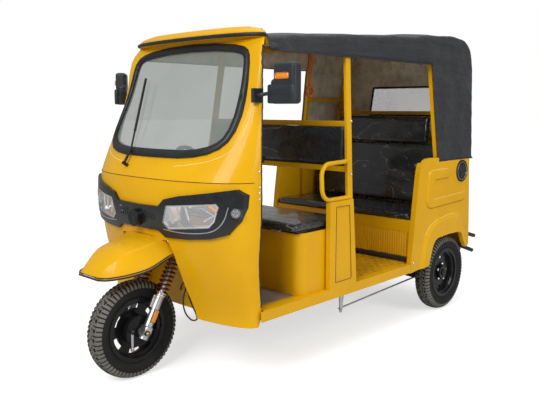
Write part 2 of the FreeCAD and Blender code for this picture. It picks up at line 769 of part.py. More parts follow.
def make_fork_crown():
    """Lower crown plate, steering stem and the two upper leg tubes."""
    reach = LEG_X + CROWN_RIM
    half = [(0, CROWN_RIM), (CROWN_RIM, CROWN_RIM), (reach, 10 - LEG_AHEAD), (reach, -LEG_AHEAD - 15),
            (reach - 15, -LEG_AHEAD - CROWN_RIM), (0, -LEG_AHEAD - CROWN_RIM)]
    outline = full_outline(half)
    plate = face_of([Vector(x, y, -CROWN_T) for x, y in outline]).extrude(Vector(0, 0, CROWN_T))
    stem = Part.makeCylinder(STEM_R, STEM_TOP, Vector(0, 0, 0))
    crown = plate.fuse(stem)
    leg_low = SLIDER_TOP - STANCHION_SEAT
    cup_low = SPRING_TOP + SEAT_GAP
    for x in (-LEG_X, LEG_X):
        leg = Part.makeCylinder(STANCHION_R, -leg_low - CROWN_T / 2, Vector(x, -LEG_AHEAD, leg_low))
        cup = Part.makeCylinder(SPRING_R - SPRING_CUP, -CROWN_T - cup_low, Vector(x, -LEG_AHEAD, cup_low))
        crown = crown.fuse(leg).fuse(cup)
    return placed_on_axis(crown)


def make_fork_sliders():
    """Cast lower legs with their axle lugs."""
    legs = []
    for side in (-1, 1):
        x = side * LEG_X
        low = -AXLE_DOWN - SLIDER_FOOT
        leg = Part.makeCylinder(SLIDER_R, SLIDER_TOP - low, Vector(x, -LEG_AHEAD, low))
        lug_start = Vector(x - SLIDER_R, -AXLE_AHEAD, -AXLE_DOWN)
        lug = Part.makeCylinder(SLIDER_R, 2 * SLIDER_R, lug_start, Vector(1, 0, 0))
        seat_low = Vector(x, -LEG_AHEAD, SLIDER_TOP - STANCHION_SEAT)
        seat = Part.makeCylinder(STANCHION_R, STANCHION_SEAT, seat_low)
        bore = Part.makeCylinder(FRONT_AXLE_R + RUN_GAP, 2 * SLIDER_R, lug_start, Vector(1, 0, 0))
        legs.append(placed_on_axis(leg.fuse(lug).cut(seat).cut(bore)))
    return Part.makeCompound(legs)


def make_fork_springs():
    """Coil springs round the upper leg tubes, as rounded turns."""
    springs = []
    pitch = (SPRING_TOP - SLIDER_TOP) / SPRING_TURNS
    for x in (-LEG_X, LEG_X):
        outline = [(STANCHION_R + SPRING_WALL, SLIDER_TOP)]
        for turn in range(SPRING_TURNS):
            z = SLIDER_TOP + turn * pitch
            outline.append((SPRING_R - SPRING_CUP, z))
            outline.append((SPRING_R, z + pitch * 0.3))
            outline.append((SPRING_R, z + pitch * 0.7))
        outline.append((SPRING_R - SPRING_CUP, SPRING_TOP))
        outline.append((STANCHION_R + SPRING_WALL, SPRING_TOP))
        face = face_of([Vector(r, 0, z) for r, z in outline])
        spring = face.revolve(Vector(0, 0, 0), Vector(0, 0, 1), 360)
        spring.translate(Vector(x, -LEG_AHEAD, 0))
        springs.append(placed_on_axis(spring))
    return Part.makeCompound(springs)


def make_front_axle():
    """Front axle with a nut at each end and the brake back plate."""
    reach = LEG_X + SLIDER_R
    end = reach + AXLE_NUT_T + AXLE_TAIL
    axle = Part.makeCylinder(FRONT_AXLE_R, 2 * end, Vector(-end, 0, 0), Vector(1, 0, 0))
    for x in (-reach - AXLE_NUT_T, reach):
        nut = Part.makeCylinder(FRONT_AXLE_R + AXLE_NUT_WALL, AXLE_NUT_T, Vector(x, 0, 0), Vector(1, 0, 0))
        axle = axle.fuse(nut)
    axle.translate(Vector(0, FRONT_AXLE_Y, AXLE_Z))
    return axle.fuse(brake_plate())


def brake_plate():
    """Front brake back plate with its lever arm."""
    start = Vector(HUB_HALF_W + HUB_END_GAP, 0, 0)
    plate = Part.makeCylinder(DRUM_R, PLATE_T, start, Vector(1, 0, 0))
    boss_l = LEG_X - SLIDER_R - start.x - SEAT_GAP
    boss = Part.makeCylinder(PLATE_BOSS_R, boss_l, start, Vector(1, 0, 0))
    arm = prism_x(BRAKE_ARM, start.x + PLATE_T, start.x + PLATE_T + BRAKE_ARM_T)
    plate = plate.fuse(boss).fuse(arm)
    plate = plate.cut(Part.makeCylinder(FRONT_AXLE_R, WHEELBASE, Vector(0, 0, 0), Vector(1, 0, 0)))
    plate.translate(Vector(0, FRONT_AXLE_Y, AXLE_Z))
    return plate


def bar_points():
    """Left half of the handlebar, in the steering frame."""
    return [Vector(x, y, STEM_TOP + rise) for x, y, rise in BAR_ROUTE]


def make_handlebar():
    """Handlebar with its grips and its clamp on the stem."""
    half = bar_points()
    path = [Vector(-p.x, p.y, p.z) for p in reversed(half[1:])] + half[1:]
    bar = tube_along(path, BAR_R, BAR_CURVE)
    clamp = box(-BAR_CLAMP_X, BAR_CLAMP_X, BAR_CLAMP_Y[0], BAR_CLAMP_Y[1],
                STEM_TOP + BAR_CLAMP_Z[0], STEM_TOP + BAR_CLAMP_Z[1])
    clamp = clamp.cut(Part.makeCylinder(STEM_R, STEM_TOP, Vector(0, 0, 0)))
    bar = bar.fuse(clamp).fuse(grip()).fuse(mirrored(grip()))
    return placed_on_axis(bar)


def grip():
    """Left grip on the bar end, in the steering frame."""
    end = bar_points()[-1]
    direction = (bar_points()[-1] - bar_points()[-2]).normalize()
    start = end - direction * GRIP_L
    return rod(start, end + direction * GRIP_END, GRIP_R)


def steering_head():
    """Head tube and its strut down to the front cross member."""
    tube = along_axis(HEAD_TUBE_R, HEAD_GAP, HEAD_GAP + HEAD_TUBE_L)
    middle = placed_on_axis(Part.Vertex(0, 0, HEAD_TUBE_L * 0.6)).Point
    foot_z = FLOOR_Z - FLOOR_T - RAIL_H + CROSS_RISE
    foot_y = WELL_REAR_HIGH_Y + STRUT_GAP
    strut = [
        (foot_y, foot_z), (foot_y + CROSS_W, foot_z), (middle.y + CROSS_W, middle.z), (middle.y, middle.z),
    ]
    strut = prism_x(strut, -STRUT_HALF_W, STRUT_HALF_W)
    head = tube.fuse(strut)
    return head.cut(along_axis(STEM_R + RUN_GAP, -AXLE_DOWN, STEM_TOP))


def tyre_profile():
    """Half outline of the tyre as x and radius, from the bead to the crown."""
    bead = [(BEAD_HALF_W - SEAT_GAP, RIM_SEAT_R + SEAT_GAP), (BEAD_HALF_W - SEAT_GAP, RIM_FLANGE_R + 2)]
    wall = [(TYRE_HALF_W - 6, RIM_FLANGE_R + 14), (TYRE_HALF_W, TYRE_R - 44), (TYRE_HALF_W - 1, TYRE_R - 22)]
    return bead + wall + [(TREAD_HALF_W, TYRE_R - 6), (TREAD_HALF_W - 22, TYRE_R)]


def tyre_at(x, y):
    """Tyre standing on the ground at a wheel centre."""
    half = tyre_profile()
    outline = half + [(-a, r) for a, r in reversed(half)]
    return revolved(outline, x, y, AXLE_Z)


def make_front_tyre():
    """Tyre of the front wheel."""
    return tyre_at(0, FRONT_AXLE_Y)


def make_left_tyre():
    """Tyre of the left rear wheel."""
    return tyre_at(HALF_TRACK, REAR_AXLE_Y)


def make_right_tyre():
    """Tyre of the right rear wheel."""
    return tyre_at(-HALF_TRACK, REAR_AXLE_Y)


def make_front_rim():
    """Front rim with its wide windows and brake drum hub."""
    rim = revolved(rim_outline(), 0, 0, 0)
    well_r = RIM_SEAT_R - RIM_WELL_DEPTH - RIM_WALL / 2
    disc = Part.makeCylinder(well_r, DISC_T, Vector(-DISC_T / 2, 0, 0), Vector(1, 0, 0))
    for i in range(FRONT_WINDOWS):
        window = ring_window(FRONT_WINDOW_LOW_R, FRONT_WINDOW_HIGH_R, FRONT_WINDOW_DEG)
        window.rotate(Vector(0, 0, 0), Vector(1, 0, 0), 360 * i / FRONT_WINDOWS)
        disc = disc.cut(window)
    drum = Part.makeCylinder(DRUM_R - DRUM_LIP, HUB_HALF_W, Vector(0, 0, 0), Vector(1, 0, 0))
    hub_l = LEG_X - SLIDER_R - HUB_END_GAP
    hub = Part.makeCylinder(HUB_R, hub_l, Vector(-hub_l, 0, 0), Vector(1, 0, 0))
    rim = rim.fuse(disc).fuse(drum).fuse(hub)
    bore = Part.makeCylinder(FRONT_AXLE_R + RUN_GAP, WHEELBASE, Vector(-HALF_TRACK, 0, 0), Vector(1, 0, 0))
    rim = rim.cut(bore)
    rim.translate(Vector(0, FRONT_AXLE_Y, AXLE_Z))
    return rim


def ring_window(low_r, high_r, degrees):
    """Cutter for a rounded window between two radii of a disc, straight above its centre."""
    start = Vector(-2 * DISC_T, 0, 0)
    ring = Part.makeCylinder(high_r, 4 * DISC_T, start, Vector(1, 0, 0))
    ring = ring.cut(Part.makeCylinder(low_r, 4 * DISC_T, start, Vector(1, 0, 0)))
    lean = high_r * math.tan(math.radians(degrees / 2))
    wedge = prism_x([(0, 0), (lean, high_r), (lean, 2 * high_r), (-lean, 2 * high_r), (-lean, high_r)],
                    -2 * DISC_T, 2 * DISC_T)
    window = ring.common(wedge)
    corners = [edge for edge in window.Edges if abs(edge.BoundBox.XLength - 4 * DISC_T) < SEAT_GAP]
    return window.makeFillet(FRONT_WINDOW_ROUND, corners)


def with_holes(disc, count, radius, ring):
    """Wheel disc with evenly spaced round holes."""
    for i in range(count):
        hole = Part.makeCylinder(radius, 4 * DISC_T, Vector(-2 * DISC_T, 0, ring), Vector(1, 0, 0))
        hole.rotate(Vector(0, 0, 0), Vector(1, 0, 0), 360 * i / count)
        disc = disc.cut(hole)
    return disc


def rim_outline():
    """Closed outline of the rim barrel."""
    t = RIM_WALL
    b = BEAD_HALF_W
    knee = b - RIM_SEAT_W
    foot = knee - t - 2
    low = RIM_SEAT_R - RIM_WELL_DEPTH
    outer = [(b + FLANGE_T, RIM_FLANGE_R), (b, RIM_FLANGE_R), (b, RIM_SEAT_R)]
    outer += [(knee, RIM_SEAT_R), (foot, low)]
    inner = [(foot, low - t), (knee + t, RIM_SEAT_R - t), (b + FLANGE_T, RIM_SEAT_R - t)]
    left_outer = [(-a, r) for a, r in reversed(outer)]
    left_inner = [(-a, r) for a, r in reversed(inner)]
    return outer + left_outer + left_inner + inner


def rear_rim(side):
    """Rear rim with its pressed disc and hub, on one side."""
    rim = revolved(rim_outline(), 0, 0, 0)
    well_r = RIM_SEAT_R - RIM_WELL_DEPTH - RIM_WALL / 2
    disc = Part.makeCylinder(well_r, DISC_T, Vector(0, 0, 0), Vector(1, 0, 0))
    disc = with_holes(disc, REAR_HOLES, REAR_HOLE_R, REAR_HOLE_RING)
    hub_l = REAR_HUB_IN + REAR_HUB_OUT
    hub = Part.makeCylinder(REAR_HUB_R, hub_l, Vector(-REAR_HUB_IN, 0, 0), Vector(1, 0, 0))
    drum = Part.makeCylinder(REAR_DRUM_R, REAR_DRUM_W, Vector(-REAR_DRUM_W, 0, 0), Vector(1, 0, 0))
    bore = Part.makeCylinder(STUB_R + RUN_GAP, 2 * TUB_X, Vector(-TUB_X, 0, 0), Vector(1, 0, 0))
    rim = rim.fuse(disc).fuse(hub).fuse(drum).cut(bore)
    if side < 0:
        rim = mirrored(rim)
    rim.translate(Vector(side * HALF_TRACK, REAR_AXLE_Y, AXLE_Z))
    return rim


def make_left_rim():
    """Rim of the left rear wheel."""
    return rear_rim(1)


def make_right_rim():
    """Rim of the right rear wheel."""
    return rear_rim(-1)


def make_rear_axle():
    """Rear axle tube with the differential, wheel stubs and drive shaft."""
    inner_end = HALF_TRACK - REAR_DRUM_W - TUBE_END_GAP
    tube = Part.makeCylinder(REAR_AXLE_R, 2 * inner_end, Vector(-inner_end, 0, 0), Vector(1, 0, 0))
    ball = Part.makeSphere(DIFF_R)
    nose = Part.makeCylinder(DIFF_NOSE_R, DIFF_R + DIFF_NOSE_L, Vector(0, 0, 0), Vector(0, -1, 0))
    nut_x = HALF_TRACK + REAR_HUB_OUT + STUB_GAP
    stub_end = nut_x + STUB_NUT_T - STUB_GAP
    stub = Part.makeCylinder(STUB_R, 2 * stub_end, Vector(-stub_end, 0, 0), Vector(1, 0, 0))
    axle = tube.fuse(ball).fuse(nose).fuse(stub)
    plate_x = HALF_TRACK - REAR_DRUM_W - BACK_PLATE_GAP
    for side in (-1, 1):
        out = Vector(side, 0, 0)
        nut = Part.makeCylinder(STUB_NUT_R, STUB_NUT_T, out * nut_x, out)
        plate = Part.makeCylinder(BACK_PLATE_R, BACK_PLATE_T, out * plate_x, out)
        pad = box(side * LEAF_X - LEAF_W / 2, side * LEAF_X + LEAF_W / 2, -LEAF_PAD_HALF, LEAF_PAD_HALF,
                  -REAR_AXLE_R - LEAF_PAD, 0)
        axle = axle.fuse(nut).fuse(plate).fuse(pad)
    axle.translate(Vector(0, REAR_AXLE_Y, AXLE_Z))
    return axle.fuse(drive_shaft())


def leaf(half, rise, z, x0):
    """One spring leaf, flat at the axle and raised at its ends."""
    y = REAR_AXLE_Y
    low = [(y - half, z + rise), (y - LEAF_FLAT, z), (y + LEAF_FLAT, z), (y + half, z + rise)]
    high = [(a, b + LEAF_T) for a, b in reversed(low)]
    return prism_x(low + high, x0, x0 + LEAF_W)


def make_leaf_springs():
    """Leaf packs under the rear axle with their hangers."""
    packs = []
    top = AXLE_Z - REAR_AXLE_R - LEAF_PAD
    for side in (-1, 1):
        x0 = side * LEAF_X - LEAF_W / 2
        pack = leaf(LEAF_HALF, LEAF_RISE, top - LEAF_T, x0)
        for i in range(1, LEAF_COUNT):
            half = LEAF_HALF * (1 - i / LEAF_COUNT)
            rise = LEAF_RISE * (half - LEAF_FLAT) / (LEAF_HALF - LEAF_FLAT)
            pack = pack.fuse(leaf(half, rise, top - LEAF_T * (i + 1), x0))
        low_z = top + LEAF_RISE - LEAF_T
        high_z = FLOOR_Z - FLOOR_T - RAIL_H
        for y in (REAR_AXLE_Y - LEAF_HALF, REAR_AXLE_Y + LEAF_HALF - HANGER_T):
            pack = pack.fuse(box(x0, x0 + LEAF_W, y, y + HANGER_T, low_z, high_z))
        packs.append(pack)
    return Part.makeCompound(packs)


def make_chassis():
    """Ladder frame of box rails with cross members and outriggers."""
    top = FLOOR_Z - FLOOR_T
    low = top - RAIL_H
    rear = REAR_WALL_Y
    front = WELL_REAR_LOW_Y + WELL_WALL
    frame = None
    hanger_y = REAR_AXLE_Y - LEAF_HALF
    for side in (-1, 1):
        x = side * RAIL_X
        rail = box(x - RAIL_W / 2, x + RAIL_W / 2, front, rear, low, top)
        frame = rail if frame is None else frame.fuse(rail)
        spring_rail = box(side * LEAF_X - LEAF_W / 2, side * LEAF_X + LEAF_W / 2,
                          hanger_y - CROSS_W, rear - SPRING_RAIL_END, low, top)
        frame = frame.fuse(spring_rail)
        x0 = min(side * RAIL_X, side * LEAF_X)
        x1 = max(side * RAIL_X, side * LEAF_X)
        for y in (hanger_y - CROSS_W, rear - REAR_TIE_Y):
            frame = frame.fuse(box(x0, x1, y, y + CROSS_W, low, top))
    for y in [front, WELL_REAR_HIGH_Y + STRUT_GAP] + CROSS_YS:
        frame = frame.fuse(box(-RAIL_X, RAIL_X, y, y + CROSS_W, low + CROSS_RISE, top))
    reach = BODY_HALF_W - SILL_W
    for y in OUTRIGGER_YS:
        frame = frame.fuse(box(-reach, reach, y, y + OUTRIGGER_W, low + OUTRIGGER_RISE, top))
    return frame.cut(engine_room()).fuse(steering_head()).removeSplitter()


def engine_room():
    """Space round the engine that the frame and the floor leave free."""
    return box(-ENGINE_HALF_W - ENGINE_ROOM, ENGINE_HALF_W + ENGINE_ROOM,
               ENGINE_FRONT_Y - ENGINE_ROOM, ENGINE_REAR_Y + ENGINE_ROOM, 0, FLOOR_Z)


def make_floor():
    """Floor of the cab and the passenger bay, cut to the inside of the nose."""
    low = FLOOR_Z - FLOOR_T
    inner_x = BODY_HALF_W - SILL_W
    front = front_solid(NOSE_LOW, -SKIN - SEAT_GAP, SKIN).common(
        box(-BODY_HALF_W, BODY_HALF_W, -WHEELBASE, NOSE_LOW[0][3], low, FLOOR_Z))
    plate = front.fuse(box(-inner_x, inner_x, NOSE_LOW[0][3], BENCH_FRONT_Y, low, FLOOR_Z))
    well = grown(well_outline(), WELL_WALL + SEAT_GAP)
    plate = plate.cut(prism_y(well, -WHEELBASE, WELL_REAR_LOW_Y + SEAT_GAP))
    slot = STRUT_HALF_W + SEAT_GAP
    slot_end = WELL_REAR_HIGH_Y + STRUT_GAP + CROSS_W + SEAT_GAP
    plate = plate.cut(box(-slot, slot, WELL_REAR_LOW_Y, slot_end, low, FLOOR_Z))
    return plate.cut(engine_room())


def make_sills():
    """Outer sills below both doors."""
    front = NOSE_LOW[0][3]
    rear = QUARTER_OUTLINE[0][0]
    sill = box(BODY_HALF_W - SILL_W, BODY_HALF_W, front, rear, SILL_BOTTOM_Z, FLOOR_Z)
    nose = front_solid(NOSE_LOW, SKIN, SKIN)
    return both_sides(sill.cut(nose))


def pillar_point(z):
    """Outer middle of the left door pillar at a height."""
    share = (z - PILLAR_LOW_Z) / (PILLAR_REF_Z - PILLAR_LOW_Z)
    x = PILLAR_LOW_X + (PILLAR_TOP_X - PILLAR_LOW_X) * share
    y = PILLAR_LOW_Y + (PILLAR_TOP_Y - PILLAR_LOW_Y) * share
    return Vector(x, y, z)


def line_z(y):
    """Height of the canopy's top line at a place along the vehicle."""
    for (y0, z0), (y1, z1) in zip(CANOPY_LINE, CANOPY_LINE[1:]):
        if y <= y1:
            return z0 + (z1 - z0) * (y - y0) / (y1 - y0)
    return CANOPY_LINE[-1][1]


def rail_z(y):
    """Middle height of a roof rail under the canopy."""
    return line_z(y) - CANOPY_T - FRAME_TUBE / 2 - RAIL_DROP


def pillar_post():
    """Left upper door pillar, from the step panel to the roof rail."""
    low = pillar_point(STEP_PANEL[2][1])
    high = pillar_point(rail_z(PILLAR_TOP_Y - PILLAR_W) + FRAME_TUBE / 2)
    inward = Vector(-PILLAR_T / 2, 0, 0)
    return square_post(low + inward, high + inward, PILLAR_T / 2, PILLAR_W / 2)


def make_door_pillars():
    """Step panels and upper posts behind both front doorways."""
    panel = prism_x(STEP_PANEL, BODY_HALF_W - STEP_T, BODY_HALF_W)
    panel = panel.cut(prism_x(STEP_INSET, BODY_HALF_W - STEP_INSET_DEEP, BODY_HALF_W + 1))
    above = prism_x(rail_outline(-FRAME_TUBE / 2 - SEAT_GAP, BODY_HALF_W), 0, BODY_HALF_W)
    pillar = panel.fuse(pillar_post()).cut(above)
    return both_sides(pillar.fuse(loop_handle()))


def loop_handle():
    """Bent grab loop ahead of the left door pillar."""
    path = [Vector(pillar_point(HANDLE_TOP_Z).x - PILLAR_T / 2, HANDLE_TOP_Y, HANDLE_TOP_Z)]
    path += [Vector(HANDLE_X, y, z) for y, z in HANDLE_PATH]
    return tube_along(path, HANDLE_R, HANDLE_CURVE)


def make_partition():
    """Cross bars behind the driver between the door pillars."""
    bars = None
    half_t = PARTITION_T / 2
    for z in (PARTITION_LOW_Z, PARTITION_TOP_Z):
        y = pillar_point(z).y
        bar = box(-BODY_HALF_W, BODY_HALF_W, y - half_t, y + half_t, z - half_t, z + half_t)
        bars = bar if bars is None else bars.fuse(bar)
    back = half_t - PAD_STAY_HALF_T
    for x in (-PAD_STAY_X, PAD_STAY_X):
        low = Vector(x, pillar_point(PARTITION_LOW_Z).y + back, PARTITION_LOW_Z)
        high = Vector(x, pillar_point(PARTITION_TOP_Z).y + back, PARTITION_TOP_Z)
        bars = bars.fuse(square_post(low, high, PAD_STAY_HALF_W, PAD_STAY_HALF_T))
    cutter = pillar_post()
    outside = prism_y([(BODY_HALF_W * 2, 0), (pillar_point(500).x - PILLAR_T, 500),
                       (pillar_point(2000).x - PILLAR_T, 2000), (BODY_HALF_W * 2, 2000)], -500, 500)
    cutter = cutter.fuse(outside)
    return bars.cut(cutter).cut(mirrored(cutter))


def square_post(low, high, half_x, half_y):
    """Upright bar of rectangular section between two points."""
    rings = []
    for p in (low, high):
        ring = [
            Vector(p.x - half_x, p.y - half_y, p.z), Vector(p.x + half_x, p.y - half_y, p.z),
            Vector(p.x + half_x, p.y + half_y, p.z), Vector(p.x - half_x, p.y + half_y, p.z),
        ]
        rings.append(Part.makePolygon(ring + [ring[0]]))
    return Part.makeLoft(rings, True, True)


def make_driver_backrest():
    """Padded panel that fills the space between the two partition bars."""
    low_z = PARTITION_LOW_Z + PARTITION_T / 2 + SEAT_GAP
    top_z = PARTITION_TOP_Z - PARTITION_T / 2 - SEAT_GAP
    front = -PARTITION_T / 2 - PAD_PROUD
    y_low = pillar_point(low_z).y + front
    y_top = pillar_point(top_z).y + front
    half_w = pillar_point(top_z).x - PILLAR_T - SEAT_GAP
    outline = [(y_low, low_z), (y_low + PAD_T, low_z), (y_top + PAD_T, top_z), (y_top, top_z)]
    return prism_x(outline, -half_w, half_w)


def make_seat_box():
    """Hollow box under the driver's seat, rounded at its front corners."""
    half = SEAT_BOX_HALF_W
    outer = box(-half, half, SEAT_BOX_FRONT_Y, SEAT_BOX_REAR_Y, FLOOR_Z, SEAT_BOX_TOP_Z)
    inner = box(-half + SHEET, half - SHEET, SEAT_BOX_FRONT_Y + SHEET, SEAT_BOX_REAR_Y - SHEET,
                FLOOR_Z - 1, SEAT_BOX_TOP_Z + 1)
    outer = front_rounded(outer, SEAT_BOX_ROUND)
    inner = front_rounded(inner, SEAT_BOX_ROUND - SHEET)
    shell = outer.cut(inner)
    for x in (-HINGE_X, HINGE_X):
        shell = shell.fuse(hinge_pin(x))
    return shell


def front_rounded(block, radius):
    """Upright block with its two front corners rounded."""
    front = block.BoundBox.YMin
    upright = [edge for edge in block.Edges
               if edge.BoundBox.ZLength > radius and edge.BoundBox.YMax < front + SEAT_GAP]
    return block.makeFillet(radius, upright)


def hinge_pin(x):
    """Pin of a seat hinge with the two ears that hold it."""
    reach = HINGE_L / 2 + SEAT_GAP + HINGE_EAR_T
    pin = Part.makeCylinder(HINGE_PIN_R, 2 * reach, Vector(x - reach, HINGE_Y, HINGE_Z), Vector(1, 0, 0))
    for side in (-1, 1):
        middle = x + side * (reach - HINGE_EAR_T / 2)
        ear_low = Vector(middle - HINGE_EAR_T / 2, HINGE_Y, HINGE_Z)
        ear = Part.makeCylinder(HINGE_R, HINGE_EAR_T, ear_low, Vector(1, 0, 0))
        foot = box(ear_low.x, ear_low.x + HINGE_EAR_T, HINGE_Y - HINGE_R, SEAT_BOX_REAR_Y,
                   SEAT_BOX_TOP_Z - 2 * HINGE_R, HINGE_Z)
        pin = pin.fuse(ear).fuse(foot)
    return pin


def hinge_knuckle(x):
    """Knuckle on the seat board that turns on a hinge pin."""
    low = Vector(x - HINGE_L / 2, HINGE_Y, HINGE_Z)
    barrel = Part.makeCylinder(HINGE_R, HINGE_L, low, Vector(1, 0, 0))
    barrel = barrel.fuse(box(x - HINGE_L / 2, x + HINGE_L / 2, SEAT_REAR_Y - 1, HINGE_Y,
                             SEAT_BOX_TOP_Z + SEAT_GAP, SEAT_BOX_TOP_Z + SEAT_BASE_T))
    return barrel


def seat_base():
    """Board under the driver's cushion, which lifts with it."""
    half_w = SEAT_HALF_W - BOARD_IN
    board = box(-half_w, half_w, SEAT_BOX_FRONT_Y - BOARD_AHEAD, SEAT_REAR_Y,
                SEAT_BOX_TOP_Z + SEAT_GAP, SEAT_BOX_TOP_Z + SEAT_BASE_T)
    for x in (-HINGE_X, HINGE_X):
        board = board.fuse(hinge_knuckle(x))
    start = Vector(-BODY_HALF_W, HINGE_Y, HINGE_Z)
    bore = Part.makeCylinder(HINGE_PIN_R + RUN_GAP, 2 * BODY_HALF_W, start, Vector(1, 0, 0))
    return board.cut(bore)


def make_driver_cushion():
    """Driver's bench cushion."""
    low_z = SEAT_BOX_TOP_Z + SEAT_BASE_T
    cushion = box(-SEAT_HALF_W, SEAT_HALF_W, SEAT_FRONT_Y, SEAT_REAR_Y, low_z, SEAT_TOP_Z)
    return rounded(cushion, CUSHION_ROUND).fuse(seat_base())


def rounded(solid, radius):
    """Solid with all its edges rounded."""
    return solid.makeFillet(radius, solid.Edges)


def quarter_panel():
    """Left rear side panel with its wheel arch flare."""
    panel = prism_x(QUARTER_OUTLINE, BODY_HALF_W - SKIN, BODY_HALF_W)
    front = QUARTER_OUTLINE[:5]
    flange = front + [(y + EDGE_W, z) for y, z in reversed(front)]
    flange = prism_x(flange, BODY_HALF_W - EDGE_T, BODY_HALF_W)
    flange = flange.common(prism_x(QUARTER_OUTLINE, 0, 2 * BODY_HALF_W))
    flare = raised_x(FLARE_OUTLINE, BODY_HALF_W - 1, BODY_HALF_W + FLARE_PROUD, FLARE_SLOPE)
    flare = flare.common(prism_x(QUARTER_OUTLINE, 0, 2 * BODY_HALF_W))
    emboss = raised_x(EMBOSS_OUTLINE, BODY_HALF_W - 1, BODY_HALF_W + EMBOSS_PROUD, EMBOSS_SLOPE)
    panel = panel.fuse(flange).fuse(flare).fuse(emboss)
    return panel.cut(prism_x(ARCH_OUTLINE, 0, 2 * BODY_HALF_W))


def make_badges():
    """Plain round badge on each quarter panel."""
    start = Vector(BODY_HALF_W, BADGE_Y, BADGE_Z)
    return both_sides(Part.makeCylinder(BADGE_R, BADGE_T, start, Vector(1, 0, 0)))


def make_quarter_panels():
    """Both rear side panels with their inner wheel housings."""
    return both_sides(quarter_panel().fuse(wheel_tub()))


def wheel_tub():
    """Inner wheel housing between the bench and the left quarter panel."""
    outer = box(TUB_X, BODY_HALF_W - SKIN, TUB_FRONT_Y, REAR_WALL_Y, FLOOR_Z - FLOOR_T, TUB_TOP_Z)
    inner = box(TUB_X + SHEET, BODY_HALF_W, TUB_FRONT_Y + SHEET, REAR_WALL_Y + 1, 0, TUB_TOP_Z - SHEET)
    return outer.cut(inner).cut(rear_wall_slab())


def rear_wall_slab():
    """Rear body panel before its holes, between the quarter panels."""
    rear = [(y, z) for y, z in QUARTER_OUTLINE if y > REAR_EDGE_Y]
    inner = [(y - SKIN, z) for y, z in reversed(rear)]
    return prism_x(rear + inner, -BODY_HALF_W + SKIN, BODY_HALF_W - SKIN)


def make_rear_wall():
    """Rear body panel with the bolt holes for a number plate."""
    wall = rear_wall_slab()
    for x in (-PLATE_BOLT_X, PLATE_BOLT_X):
        start = Vector(x, BACKREST_Y, PLATE_BOLT_Z)
        wall = wall.cut(Part.makeCylinder(PLATE_BOLT_R, WHEELBASE, start, Vector(0, 1, 0)))
    return wall


def rear_wall_y(z):
    """Outer face of the rear wall at a height."""
    (y0, z0), (y1, z1) = QUARTER_OUTLINE[-3:-1]
    return y0 + (y1 - y0) * (z - z0) / (z1 - z0)


def make_tail_lamps():
    """Upright lamp at each side of the rear wall."""
    low_y = rear_wall_y(TAIL_LAMP_LOW_Z)
    top_y = rear_wall_y(TAIL_LAMP_TOP_Z)
    outline = [
        (low_y, TAIL_LAMP_LOW_Z), (low_y + TAIL_LAMP_DEEP, TAIL_LAMP_LOW_Z + TAIL_LAMP_SLOPE),
        (top_y + TAIL_LAMP_DEEP, TAIL_LAMP_TOP_Z - TAIL_LAMP_SLOPE), (top_y, TAIL_LAMP_TOP_Z),
    ]
    return both_sides(prism_x(outline, TAIL_LAMP_X0, TAIL_LAMP_X1))


def make_bench_base():
    """Stepped riser and top board of the passenger bench."""
    low = FLOOR_Z - FLOOR_T
    riser = box(-BENCH_HALF_W, BENCH_HALF_W, BENCH_FRONT_Y, BENCH_FRONT_Y + SHEET, low, BENCH_TOP_Z)
    top = box(-BENCH_HALF_W, BENCH_HALF_W, BENCH_FRONT_Y, BACKREST_Y + BACKREST_T + BACKREST_LEAN,
              BENCH_TOP_Z - SHEET, BENCH_TOP_Z)
    base = riser.fuse(top)
    pitch = 2 * BENCH_HALF_W / RIB_COUNT
    for i in range(RIB_COUNT):
        x = -BENCH_HALF_W + pitch * (i + 0.5)
        base = base.fuse(box(x - RIB_HALF_W, x + RIB_HALF_W, BENCH_FRONT_Y - RIB_PROUD, BENCH_FRONT_Y,
                             FLOOR_Z + RIB_FOOT, BENCH_TOP_Z - PLAIN_BAND))
    for x in (-BENCH_STAY_X, BENCH_STAY_X):
        base = base.fuse(box(x - BENCH_STAY_HALF_W, x + BENCH_STAY_HALF_W, BENCH_FRONT_Y,
                             BACKREST_Y + BENCH_STAY_REACH, low, BENCH_TOP_Z - SHEET))
    return base


def make_bench_cushion():
    """Passenger bench cushion."""
    cushion = box(-BENCH_SEAT_HALF_W, BENCH_SEAT_HALF_W, BENCH_FRONT_Y - RIB_PROUD, BACKREST_Y,
                  BENCH_TOP_Z + SEAT_GAP, BENCH_SEAT_Z)
    return rounded(cushion, CUSHION_ROUND)


def make_bench_backrests():
    """Passenger backrest and the padded headrest above it."""
    return Part.makeCompound([bench_backrest(), headrest()])


def bench_backrest():
    """Passenger backrest, leaning backward."""
    low = BENCH_TOP_Z + SEAT_GAP
    y0 = BACKREST_Y + SEAT_GAP
    outline = [(y0, low), (y0 + BACKREST_T, low), (y0 + BACKREST_T + BACKREST_LEAN, BACKREST_TOP_Z),
               (y0 + BACKREST_LEAN, BACKREST_TOP_Z)]
    return rounded(prism_x(outline, -BACKREST_HALF_W, BACKREST_HALF_W), CUSHION_ROUND)


def headrest():
    """Padded bar above the passenger backrest."""
    y0 = rear_post_y(HEADREST_Z + FRAME_TUBE) - FRAME_TUBE / 2 - HEADREST_T - SEAT_GAP
    pad = box(-HEADREST_HALF_W, HEADREST_HALF_W, y0, y0 + HEADREST_T, HEADREST_Z, HEADREST_TOP_Z)
    return rounded(pad, HEADREST_ROUND)


def post_x(z):
    """Middle of a rear post or side bar across the vehicle, at a height."""
    low = CANOPY_LOW_X - CANOPY_T - FRAME_TUBE / 2 - POST_GAP
    high_z = rail_z(C_POST_Y)
    return low + (rail_x() - low) * max(0, z - CURTAIN_LOW_Z) / (high_z - CURTAIN_LOW_Z)


def rail_x():
    """Middle of a roof rail across the vehicle."""
    return CANOPY_TOP_X - CANOPY_T - FRAME_TUBE / 2 - RAIL_GAP


